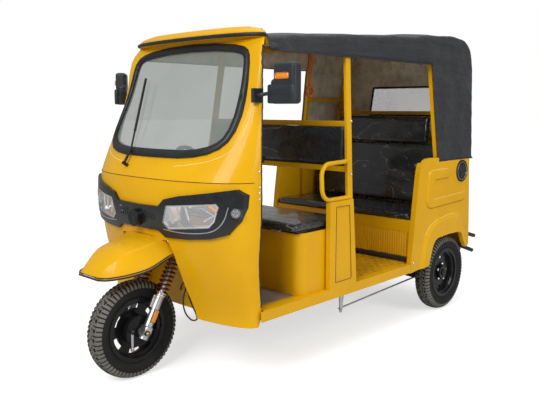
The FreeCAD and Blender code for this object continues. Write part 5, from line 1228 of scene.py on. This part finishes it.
def guard_rows():
    """Stations of the mudguard, smoothed along its length."""
    rows = []
    last = len(GUARD_STATIONS) - 1
    for i in range(last):
        four = [GUARD_STATIONS[max(0, min(last, i + k))] for k in (-1, 0, 1, 2)]
        for step in range(GUARD_STEPS):
            t = step / GUARD_STEPS
            rows.append([blended(*[row[n] for row in four], t) for n in range(6)])
    rows.append(list(GUARD_STATIONS[-1]))
    return rows


def guard_section(half_w, low_z, shoulder_w, shoulder_z, crown_z):
    """Half section of the mudguard from its lower edge to the middle, with a tight crease."""
    points = []
    for t in GUARD_SIDE_STEPS:
        bow = GUARD_BOW * (half_w - shoulder_w) * 4 * t * (1 - t)
        x = half_w + (shoulder_w - half_w) * t + bow
        points.append((x, low_z + (shoulder_z - low_z) * t + bow * 0.5))
    for t in GUARD_TOP_STEPS:
        rise = GUARD_CROWN_SHARE * (crown_z - shoulder_z) * (1 - (1 - t) ** 2)
        points.append((shoulder_w * (1 - t), shoulder_z + rise))
    return points


def whole_section(half):
    """Both halves of a section, from the left lower edge over the middle to the right one."""
    return half + [(-x, z) for x, z in reversed(half[:-1])]


def make_mudguard(looks):
    """Smooth mudguard with its rubber edging and the sealed joint to the nose."""
    rows = guard_rows()
    vertices = []
    for row in rows:
        vertices += [at(x, row[0], z) for x, z in whole_section(guard_section(*row[1:]))]
    faces = grid_faces(len(vertices) // len(rows), len(rows))
    guard = mesh_piece("mudguard_shell", vertices, faces, looks["yellow"])
    thicken(guard, GUARD_T, 1)
    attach(guard, "body")
    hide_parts("front_mudguard")
    edge = [at(row[1], row[0], row[2]) for row in rows]
    right = mirrored(edge)
    front = [edge[-1].lerp(right[0], t / 6) for t in range(1, 6)]
    tube_piece("mudguard_edge_rubber", edge + front + right, EDGE_TUBE_R, looks["seal"], "body", sides=2)
    upper = [p + Vector((EDGE_LINE_OUT, 0, EDGE_LINE_UP)) for p in edge]
    upper_front = [p + Vector((0, -EDGE_LINE_OUT, EDGE_LINE_UP)) for p in front]
    line = upper + upper_front + mirrored(upper)
    tube_piece("mudguard_edge_line", line, EDGE_LINE_R, looks["seal"], "body", sides=2)
    joint = front_points("nose_panel", whole_section(guard_section(*GUARD_JOINT)), JOINT_PROUD)
    tube_piece("mudguard_joint", joint, EDGE_LINE_R, looks["seam"], "body", sides=2)


def fork_block(name, low, high, radius, material):
    """Rounded block given in the steering frame, on the left leg and mirrored to the right."""
    piece = rounded_box(name + "_left", low, high, radius, material)
    turn = Matrix(((1, 0, 0), (0, AXIS_BACK.y, AXIS_UP.y), (0, AXIS_BACK.z, AXIS_UP.z))).to_4x4()
    piece.data.transform(Matrix.Translation(CROWN_AT) @ turn)
    both(piece, "steering")


# Fork furniture in the steering frame, as low and high corners: out from the leg, back and up
FORK_BLOCKS = [
    ("fork_reflector", (0.0215, -0.013, -0.420), (0.0275, 0.013, -0.356), 0.0022, "amber"),
    ("reflector_frame", (0.0195, -0.0155, -0.4225), (0.0245, 0.0155, -0.3535), 0.002, "plastic"),
    ("slider_lug", (-0.006, -0.040, -0.350), (0.006, -0.018, -0.285), 0.003, "silver"),
    ("slider_clamp", (-0.026, -0.026, -0.486), (0.0255, 0.020, -0.446), 0.007, "silver"),
]
# Spring collars: place along the leg, radius and height
COLLARS = [(SPRING_LOW - 0.002, 0.0325, 0.006), (SPRING_LOW - 0.013, 0.0275, 0.012),
           (SPRING_TOP + 0.001, 0.0330, 0.006)]
AXLE_Y = -1.095
AXLE_Z = 0.2575
AXLE_BOLT_X = (0.122, 0.134)
AXLE_BOLT_R = 0.0125
LEVER_BLOCKS = [("front_brake_lever", (0.056, -1.150, 0.168), (0.061, -1.136, 0.268)),
                ("brake_lever_clevis", (0.052, -1.152, 0.160), (0.065, -1.134, 0.178))]
LEVER_EDGE_R = 0.002


def make_fork_details(looks):
    """Collars, lugs, reflectors, bolts and the brake lever of the fork."""
    leg = Vector((LEG_X, -LEG_AHEAD, 0))
    for name, low, high, radius, look in FORK_BLOCKS:
        fork_block(name, leg + Vector(low), leg + Vector(high), radius, looks[look])
    for side in (-1, 1):
        tag = side_name(side)
        for level, radius, height in COLLARS:
            low = on_fork(side * LEG_X, -LEG_AHEAD, level - height / 2)
            high = on_fork(side * LEG_X, -LEG_AHEAD, level + height / 2)
            name = f"spring_collar_{tag}_{millimetres(-level)}"
            rod_piece(name, low, high, radius, looks["chrome"], 32, "steering")
        ends = [at(side * x, AXLE_Y, AXLE_Z) for x in AXLE_BOLT_X]
        rod_piece("axle_bolt_" + tag, *ends, AXLE_BOLT_R, looks["brass"], 6, "steering")
    for name, low, high in LEVER_BLOCKS:
        rounded_box(name, at(*low), at(*high), LEVER_EDGE_R, looks["silver"], body="steering")


NUT_COUNT = 5
NUT_RING_R = 0.057
NUT_R = 0.0105
NUT_LENGTH = 0.020
NUT_TURN = 0.1
CAP_R = 0.0165
CAP_LENGTH = 0.007
RIM_STEP_RINGS = (0.128, 0.146)
RIM_STEP_X = 0.012
RIM_LIP_R = 0.1705
RIM_LIP_X = 0.0435
RIM_LIP_WIRE = 0.0022
RIM_LIP_STEPS = 96
RIM_STEP_WIRE = 0.003
RIM_STEP_STEPS = 72


def wheel_face(side, sign, place):
    """Where the outer face of a rear rim stands at a place."""
    hit = cast("rear_rim_" + side, (sign * SIDE_START_X, place.y, place.z), (-sign, 0, 0))
    return hit[0] if hit else Vector(place)


def rim_lip(name, hub, sign, look, body):
    """Rolled edge of a rim on one side of its hub."""
    middle = hub + Vector((sign * RIM_LIP_X, 0, 0))
    ring_piece(name, middle, (1, 0, 0), RIM_LIP_R, RIM_LIP_WIRE, look, body, RIM_LIP_STEPS)


def wheel_nuts(side, sign, face, look):
    """Ring of nuts around the cap of a rear hub."""
    body = "rear_wheel_" + side
    out = Vector((sign, 0, 0))
    for i in range(NUT_COUNT):
        turn = 2 * math.pi * (i + NUT_TURN) / NUT_COUNT
        offset = Vector((0, math.sin(turn), math.cos(turn))) * NUT_RING_R
        start = wheel_face(side, sign, face + offset)
        rod_piece(f"wheel_nut_{side}_{i + 1}", start, start + out * NUT_LENGTH, NUT_R, look, 6, body)
    start = wheel_face(side, sign, face)
    rod_piece("hub_cap_" + side, start, start + out * CAP_LENGTH, CAP_R, look, 24, body)


def make_wheel_details(looks):
    """Nuts, caps and rings of the wheels."""
    for side, sign in (("left", 1), ("right", -1)):
        face = Vector((sign * HALF_TRACK, REAR_HUBS[side].y, REAR_HUBS[side].z))
        body = "rear_wheel_" + side
        wheel_nuts(side, sign, face, looks["chrome"])
        middle = face + Vector((sign * RIM_STEP_X, 0, 0))
        for radius in RIM_STEP_RINGS:
            name = f"rim_step_{side}_{millimetres(radius)}"
            ring_piece(name, middle, (1, 0, 0), radius, RIM_STEP_WIRE, looks["rim"], body, RIM_STEP_STEPS)
        rim_lip("rim_lip_" + side, face, sign, looks["rim"], body)
    for sign in (-1, 1):
        rim_lip("front_rim_lip_" + side_name(sign), FRONT_HUB, sign, looks["rim"], "front_wheel")


BAR_PITCH = 0.034
BAR_SIZE = (0.024, 0.0050, 0.0030, 1)
BAR_Z = 0.4058
BAR_FIRST_Y = 0.030
BAR_LAST_Y = 0.625
BAR_HALF_X = 0.545
MAT_BOX = ((-0.540, -0.735, 0.4052), (0.540, -0.447, 0.4088))
MAT_EDGE_R = 0.0015
RISER_HALF_W = 0.565
RISER_RIBS = 63
RIB_STEPS = 8
RIB_ZS = (0.445, 0.600)
RIB_AHEAD = 0.0030
RIB_DEPTH = 0.0024
# Dark strip of painted shade at the foot of the bench front
KICK_YS = (-0.005, 0.001)
KICK_ZS = (0.4055, 0.440)
KICK_EDGE_R = 0.0008


def tread_bars(material):
    """Slanting tread bars of the passenger floor, in one piece."""
    bars = bmesh.new()
    size = Matrix.Diagonal(BAR_SIZE)
    y = BAR_FIRST_Y
    row = 0
    while y < BAR_LAST_Y:
        x = -BAR_HALF_X
        column = 0
        while x < BAR_HALF_X:
            turn = Matrix.Rotation(math.radians(45 if (row + column) % 2 else -45), 4, "Z")
            bmesh.ops.create_cube(bars, size=1, matrix=Matrix.Translation(at(x, y, BAR_Z)) @ turn @ size)
            x += BAR_PITCH
            column += 1
        y += BAR_PITCH
        row += 1
    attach(built_piece("floor_tread_bars", bars, material, False), "body")


def make_floor_details(looks):
    """Tread bars, the driver's mat, the ribbed front of the bench and a dark strip of painted shade at its
    foot.
    """
    tread_bars(looks["yellow"])
    low, high = MAT_BOX
    rounded_box("driver_floor_mat", at(*low), at(*high), MAT_EDGE_R, looks["mat"], 1, "body")
    wall_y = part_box("bench_base")[0].y
    count = RISER_RIBS * RIB_STEPS
    vertices = []
    for z in RIB_ZS:
        for i in range(count + 1):
            y = wall_y - RIB_AHEAD - RIB_DEPTH * math.cos(2 * math.pi * i / RIB_STEPS)
            vertices.append(Vector((-RISER_HALF_W + 2 * RISER_HALF_W * i / count, y, z)))
    mesh_piece("bench_front_ribs", vertices, grid_faces(count + 1, 2), looks["yellow"], "body")
    # Dark strip of painted shade at the foot of the bench front
    low = (-RISER_HALF_W, wall_y + KICK_YS[0], KICK_ZS[0])
    high = (RISER_HALF_W, wall_y + KICK_YS[1], KICK_ZS[1])
    rounded_box("bench_kick_shade_strip", low, high, KICK_EDGE_R, looks["shadow"], 1, "body")


# Mirror backs, as x and z; depths are measured from the back face
MIRROR_BACK_Y = -0.714
MIRROR_RIGHT_TURN = 40
MIRROR_PIVOT = at(0.660, -0.684, 0)
PILL_BOX = ((0.659, -0.0035, 1.532), (0.742, 0.004, 1.562))
LOWER_BOX = ((0.607, -0.0055, 1.4185), (0.7715, 0.020, 1.508))
RIB_BOX = ((0.624, -0.0075, 1.460), (0.757, -0.004, 1.4635))
RIB_PITCH = 0.0115


def mirror_box(name, corners, radius, material, segments=3, up=0.0):
    """Rounded block on the back of the left mirror."""
    shift = at(0, MIRROR_BACK_Y, up)
    low, high = [Vector(corner) + shift for corner in corners]
    return rounded_box(name, low, high, radius, material, segments)


def mirror_details(looks):
    """Amber pill, lower step and ribs on the back of each mirror housing."""
    pieces = [mirror_box("mirror_pill", PILL_BOX, 0.010, looks["amber"]),
              mirror_box("mirror_lower", LOWER_BOX, 0.009, looks["mirror"], 4)]
    for i in range(3):
        pieces.append(mirror_box(f"mirror_rib_{i + 1}", RIB_BOX, 0.0015, looks["mirror"], 2, RIB_PITCH * i))
    pivot = Vector((-MIRROR_PIVOT.x, MIRROR_PIVOT.y, 0))
    turn = Matrix.Rotation(-math.radians(MIRROR_RIGHT_TURN), 4, "Z")
    for piece in pieces:
        other = mirror_copy(piece, piece.name + "_right")
        other.data.transform(Matrix.Translation(pivot) @ turn @ Matrix.Translation(-pivot))
        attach(piece, "body")


# Latch of the driver's seat, and rings, as radius and wire, and middle of the round badges
BADGE_RINGS = [(0.0730, 0.0028, "plastic"), (0.0610, 0.0016, "silver")]
BADGE_DOME_R = 0.048
BADGE_DOME_T = 0.002
LATCH_BOX = ((0.392, -0.470, 0.7425), (0.462, -0.4555, 0.7525))
LATCH_EDGE_R = 0.003
# Bolts: name, node, y from the wheelbase's middle, z, how deep and how proud they stand, and radius
SIDE_BOLTS = [
    ("pillar_bolt_1", "door_pillars", 0.007, 1.325, 0, 0.006, 0.0075),
    ("pillar_bolt_2", "door_pillars", -0.026, 1.031, 0, 0.006, 0.0075),
    ("edge_bolt_1", "windshield_frame", -0.775, 1.098, 0.002, 0.004, 0.006),
    ("edge_bolt_2", "nose_panel", -0.778, 1.022, 0.002, 0.004, 0.006),
    ("edge_bolt_3", "nose_panel", -0.779, 0.995, 0.002, 0.004, 0.006),
    ("edge_bolt_4", "nose_panel", -0.779, 0.965, 0.002, 0.004, 0.006),
    ("quarter_bolt", "quarter_panels", 0.623, 0.411, 0, 0.006, 0.0080),
]
# Lines on the side's pressings as (y, z), drawn as painted highlight and painted shade: step panel, raised
# panel and wheel arch
STEP_INSET_SHADE_LINE = [(-0.184, 0.439), (-0.039, 0.439), (-0.065, 0.861), (-0.184, 0.861)]
EMBOSS_LINE = [
    (0.768, 0.790), (0.776, 0.762), (0.800, 0.745), (0.836, 0.742), (1.250, 0.756), (1.276, 0.766),
    (1.286, 0.786), (1.281, 0.806), (1.262, 0.815), (0.866, 0.801), (0.843, 0.806), (0.834, 0.826),
    (0.842, 0.902), (0.850, 0.918), (0.868, 0.926), (1.026, 0.931), (1.048, 0.944), (1.056, 0.966),
    (1.046, 0.988), (1.022, 0.995), (0.830, 0.994), (0.804, 0.986), (0.789, 0.966),
]
# Runs of the raised panel's outline: pale runs are painted highlight on its upper edges, dark runs painted
# shade on its lower edges
EMBOSS_LIGHT_AND_SHADE_RUNS = [("low", slice(0, 8), "edge"), ("top", slice(17, 23), "cream"),
               ("shelf", slice(8, 11), "cream"), ("under", slice(14, 18), "edge")]
LINE_PROUD = 0.0002
# Line of painted highlight along the crease of the wheel arch flare
FLARE_LINE = [(0.757, 0.566), (0.798, 0.612), (0.850, 0.641), (0.904, 0.658), (1.034, 0.675), (1.124, 0.677),
              (1.204, 0.655)]
TAIL_STUBS = [((0.598, 1.300, 0.520), (0.606, 1.480, 0.468)), ((0.573, 1.310, 0.420), (0.606, 1.460, 0.362))]
STUB_R = 0.014
SIDE_LINE_R = 0.0018
INSET_LINE_R = 0.0016
INSET_PROUD = 0.0004


def side_bolt(material, name, node, y, z, sunk, proud, radius):
    """Hexagonal bolt head on the left side of a node and its mirror copy."""
    place, normal = from_left(node, y, z)
    both(rod_piece(name + "_left", place - normal * sunk, place + normal * proud, radius, material, 6))


def side_line(name, node, points, proud, radius, material, cyclic=False):
    """Thin line on the left side of a node and its mirror copy."""
    line = side_points(node, dense(points, 0.012, cyclic), proud)
    both(tube_piece(name, line, radius, material, cyclic=cyclic, sides=2))


def make_badges(looks):
    """Rings and blank dome of the round badges."""
    low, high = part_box("side_badges")
    for side in (-1, 1):
        tag = side_name(side)
        face = Vector((side * high.x, (low.y + high.y) / 2, (low.z + high.z) / 2))
        for radius, wire, look in BADGE_RINGS:
            name = f"badge_ring_{tag}_{millimetres(radius)}"
            ring_piece(name, face, (1, 0, 0), radius, wire, looks[look])
        dome_top = face + Vector((side * BADGE_DOME_T, 0, 0))
        rod_piece("badge_middle_" + tag, face, dome_top, BADGE_DOME_R, looks["plastic"], 48, "body")


def make_side_details(looks):
    """Bolts, latch, badges, pipe stubs, and lines of painted highlight and painted shade on the pressings of
    both sides.
    """
    for bolt in SIDE_BOLTS:
        side_bolt(looks["chrome"], *bolt)
    low, high = LATCH_BOX
    rounded_box("seat_latch", at(*low), at(*high), LATCH_EDGE_R, looks["silver"], body="driver_seat_lid")
    make_badges(looks)
    for i, (start, end) in enumerate(TAIL_STUBS):
        both(rod_piece(f"tail_stub_{i + 1}_left", at(*start), at(*end), STUB_R, looks["plastic"]))
    # Pale runs are painted highlight, dark runs painted shade
    for label, part, look in EMBOSS_LIGHT_AND_SHADE_RUNS:
        name = f"emboss_{label}_left"
        side_line(name, "quarter_panels", EMBOSS_LINE[part], LINE_PROUD, SIDE_LINE_R, looks[look])
    # Pale line of painted highlight along the arch flare's crease
    side_line("flare_crease_left", "quarter_panels", FLARE_LINE, LINE_PROUD, SIDE_LINE_R, looks["cream"])
    # Dark line of painted shade around the step panel's recess
    side_line("step_inset_left", "door_pillars", STEP_INSET_SHADE_LINE, INSET_PROUD, INSET_LINE_R, looks["seam"],
              True)


# Look of each CAD node that keeps its own mesh
NODE_LOOKS = {
    "yellow": ("sills", "nose_panel", "front_wheel_well", "windshield_frame", "roof_cap",
               "front_mudguard", "door_pillars", "partition_bars", "driver_seat_box", "quarter_panels",
               "rear_wall", "bench_base", "upper_frame"),
    "floor": ("floor_pan",),
    "chassis": ("chassis_frame", "rear_axle", "rear_bumper", "handlebar", "side_badges", "front_axle"),
    "rim": ("front_rim", "rear_rim_left", "rear_rim_right"),
    "seal": ("windshield_seal",),
    "fascia": ("lamp_fascia",),
    "plastic": ("wiper", "dash_shelf", "front_cable"),
    "mirror": ("door_mirrors",),
    "tyre": ("front_tyre", "rear_tyre_left", "rear_tyre_right"),
    "vinyl": ("driver_backrest", "driver_cushion", "bench_cushion", "bench_backrests"),
    "cloth": ("canopy",),
    "strap": ("grab_strap",),
    "silver": ("fork_sliders", "brake_rod", "fork_crown"),
    "chrome": ("headlamp_bowls",),
    "leaf": ("leaf_springs",),
    "engine": ("engine_block",),
    "red": ("fork_springs",),
    "glass": ("windshield_glass",),
    "lens": ("headlamp_lenses",),
    "window": ("rear_window",),
    "tail": ("tail_lamps",),
}


def dress(node, material):
    """Give a CAD node a material."""
    slots = NODES[node].material_slots
    for slot in slots:
        slot.material = material
    if not slots:
        NODES[node].data.materials.append(material)


def make_looks():
    """All the materials, by name."""
    return {
        "yellow": painted("yellow_paint_look", YELLOW, YELLOW_DEEP),
        "floor": floor_paint("floor_paint_look"),
        "chassis": painted("chassis_look", SATIN_BLACK, tinted(SATIN_BLACK, 0.7), 0.4, 0.2),
        "rim": painted("rim_look", SATIN_BLACK, tinted(SATIN_BLACK, 0.7), 0.3, 0.3),
        "seal": moulded("seal_look", RUBBER_BLACK, 0.42),
        "fascia": moulded("fascia_look", PLASTIC_BLACK, 0.24, 900.0, 0.5),
        "plastic": moulded("plastic_look", PLASTIC_BLACK, 0.5),
        "mirror": moulded("mirror_look", MIRROR_GREY, 0.4),
        "tyre": moulded("tyre_look", TYRE_BLACK, 0.7, 700.0, 0.25),
        "tread": moulded("tread_look", TREAD_GREY, 0.85, 500.0, 0.15),
        # Seat vinyl, with painted highlights along the creases of its wrap
        "vinyl": wrapped_vinyl("seat_vinyl_look"),
        "cloth": woven("canopy_cloth_look", CANVAS, CANVAS_DEEP),
        "lining": foil_lining("lining_look"),
        "strap": moulded("strap_look", STRAP_RED, 0.7, 1500.0),
        "silver": metal("silver_look", SILVER, 0.35),
        "chrome": metal("chrome_look", CHROME, 0.12),
        "brass": metal("brass_look", BRASS, 0.3),
        "leaf": metal("spring_steel_look", SPRING_STEEL, 0.5),
        "engine": metal("engine_look", ENGINE_GREY, 0.5),
        "red": painted("spring_paint_look", SPRING_RED, tinted(SPRING_RED, 0.6), 0.35, 0.3),
        "glass": clear("windshield_look", WINDSHIELD_TINT, 0.02, 0.56),
        "lens": clear("lamp_look", LENS_TINT, 0.02, 0.18),
        "window": clear("window_look", WINDOW_TINT, 0.25, 0.42),
        "amber": amber_plastic("amber_look"),
        "tail": moulded("tail_lamp_look", TAIL_RED, 0.15, 300.0, 0.5),
        # The seam look also draws a line of painted shade; the next two looks are thin lines of painted
        # highlight and painted shade
        "seam": moulded("seam_and_painted_shade_look", SEAM_AND_PAINTED_SHADE, 0.6),
        "cream": painted("painted_highlight_line_look", PAINTED_HIGHLIGHT_LINE, PAINTED_HIGHLIGHT_LINE_DEEP),
        "edge": painted("painted_shade_line_look", PAINTED_SHADE_LINE, PAINTED_SHADE_LINE_DEEP),
        "smoke": moulded("lamp_back_look", LAMP_BACK_BLUE, 0.2, 300.0, 0.5),
        "mat": moulded("floor_mat_look", MAT_BROWN, 0.8, 500.0, 0.2),
        # Dark strip of painted shade at the foot of the bench front
        "shadow": moulded("kick_painted_shade_look", KICK_PAINTED_SHADE, 0.7),
    }


# Pads: name, corners, edge radius, fill, crown along x, y and z, lean, body and the nodes replaced
PADS = [
    ("driver_seat_pad", at(-0.584, -0.482, 0.7545), at(0.584, -0.066, 0.794), 0.018, 0.8,
     (0.0, 0.003, 0.006), 0.0, "driver_seat_lid", ["driver_cushion"]),
    ("driver_back_pad", *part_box("driver_backrest"), 0.009, 0.9,
     (0.0, 0.005, 0.0), 0.0, "body", ["driver_backrest"]),
    ("bench_pad", at(-0.568, 0.634, 0.6805), at(0.568, 1.060, 0.726), 0.020, 0.8,
     (0.0, 0.004, 0.005), 0.0, "body", ["bench_cushion"]),
    ("bench_back_pad", at(-0.570, 1.060, 0.7285), at(0.570, 1.130, 1.147), 0.022, 0.8,
     (0.0, 0.008, 0.0), 0.050, "body", ["bench_backrests"]),
    ("headrest_pad", at(-0.400, 1.112, 1.150), at(0.400, 1.157, 1.339), 0.018, 0.8,
     (0.0, 0.005, 0.0), 0.022, "body", []),
]
SEAT_BOARD = (at(-0.572, -0.456, 0.7423), at(0.572, -0.066, 0.754))


def make_seats(looks):
    """Cushions and backrests, and the board under the driver's cushion."""
    rounded_box("driver_seat_board", *SEAT_BOARD, 0.001, looks["chassis"], 1, "driver_seat_lid")
    for name, low, high, radius, fill, crown, lean, body, nodes in PADS:
        puffed(name, low, high, radius, looks["vinyl"], crown, lean, body, nodes)


def make_camera():
    """Camera at the photograph's place."""
    data = bpy.data.cameras.new("camera")
    data.sensor_width = SENSOR_MM
    data.lens = SENSOR_MM * FOCAL_PIXELS / IMAGE_WIDTH
    data.clip_start = CLIP_START
    camera = bpy.data.objects.new("camera", data)
    bpy.context.scene.collection.objects.link(camera)
    camera.location = CAMERA_AT
    level = math.cos(CAMERA_DOWN)
    aside = -math.sin(CAMERA_AZIMUTH) * level
    ahead = Vector((aside, math.cos(CAMERA_AZIMUTH) * level, -math.sin(CAMERA_DOWN)))
    camera.rotation_euler = ahead.to_track_quat("-Z", "Y").to_euler()
    bpy.context.scene.camera = camera


def area_light(name, place, aim, size, power):
    """Soft square lamp pointed at a place."""
    data = bpy.data.lights.new(name, "AREA")
    data.size = size
    data.energy = power
    lamp = bpy.data.objects.new(name, data)
    bpy.context.scene.collection.objects.link(lamp)
    lamp.location = place
    lamp.rotation_euler = (Vector(aim) - Vector(place)).to_track_quat("-Z", "Y").to_euler()


def seen_white(tree, dull):
    """Socket that is 1 for rays that should see plain white and dull for the rest."""
    path = tree.nodes.new("ShaderNodeLightPath")
    direct = tree.nodes.new("ShaderNodeMath")
    direct.operation = "MAXIMUM"
    tree.links.new(path.outputs["Is Camera Ray"], direct.inputs[0])
    tree.links.new(path.outputs["Is Transmission Ray"], direct.inputs[1])
    share = tree.nodes.new("ShaderNodeMapRange")
    share.inputs["To Min"].default_value = dull
    share.inputs["To Max"].default_value = 1.0
    tree.links.new(direct.outputs["Value"], share.inputs["Value"])
    return share.outputs["Result"]


WORLD_GLOW = 0.39
FLOOR_GLOW = 0.60
FAR_GLOW = 0.90
GLOW_SPAN = (2.0, 9.0)
FLOOR_HALF = 60
FLOOR_GREYS = ((0.66, 0.66, 0.66, 1), (0.68, 0.68, 0.68, 1))
WHITE = (1, 1, 1, 1)
# Lamps: name, place, aim, size and power
LAMPS = [
    ("key", (1.6, -5.0, 4.0), (0, -0.3, 0.9), 2.4, 205),
    ("side", (5.2, 0.6, 3.0), (0, 0.2, 0.8), 2.6, 112),
    ("top", (0, 0.4, 5.2), (0, 0.2, 0.8), 4.0, 95),
]


def make_world():
    """White surroundings that light the object at a plain level."""
    world = bpy.data.worlds.new("world")
    bpy.context.scene.world = world
    world.use_nodes = True
    background = world.node_tree.nodes["Background"]
    background.inputs["Color"].default_value = WHITE
    world.node_tree.links.new(seen_white(world.node_tree, WORLD_GLOW), background.inputs["Strength"])


def make_floor():
    """Pale floor that keeps the object's shadow and meets the white without a line."""
    s = Shader("studio_floor_look")
    s.put(Roughness=0.9, Specular_IOR_Level=0.0)
    s.colour(s.noise(2.0), *FLOOR_GREYS)
    s.put(Emission_Color=WHITE)
    away = s.node("ShaderNodeVectorMath")
    away.operation = "LENGTH"
    s.link(s.coords, away.inputs[0])
    glow = s.range(away.outputs["Value"], FLOOR_GLOW, FAR_GLOW, *GLOW_SPAN)
    s.link(s.math("MULTIPLY", seen_white(s.tree, 0.0), glow), s.shader.inputs["Emission Strength"])
    build = bmesh.new()
    bmesh.ops.create_grid(build, x_segments=1, y_segments=1, size=FLOOR_HALF)
    built_piece("studio_floor", build, s.material, False)


def main():
    """The whole scene."""
    looks = make_looks()
    for look, nodes in NODE_LOOKS.items():
        for node in nodes:
            dress(node, looks[look])
    make_canopy(looks["cloth"], looks["lining"], looks["plastic"])
    make_seats(looks)
    make_tyres(looks["tyre"], looks["tread"])
    make_springs(looks["red"], looks["chrome"])
    make_shield_trim(looks)
    make_front_trims(looks)
    door_edge(looks)
    make_face(looks)
    make_mudguard(looks)
    make_fork_details(looks)
    make_wheel_details(looks)
    make_floor_details(looks)
    mirror_details(looks)
    make_side_details(looks)
    make_floor()
    make_world()
    for lamp in LAMPS:
        area_light(*lamp)
    make_camera()
    bpy.context.scene.view_settings.view_transform = "Standard"


main()
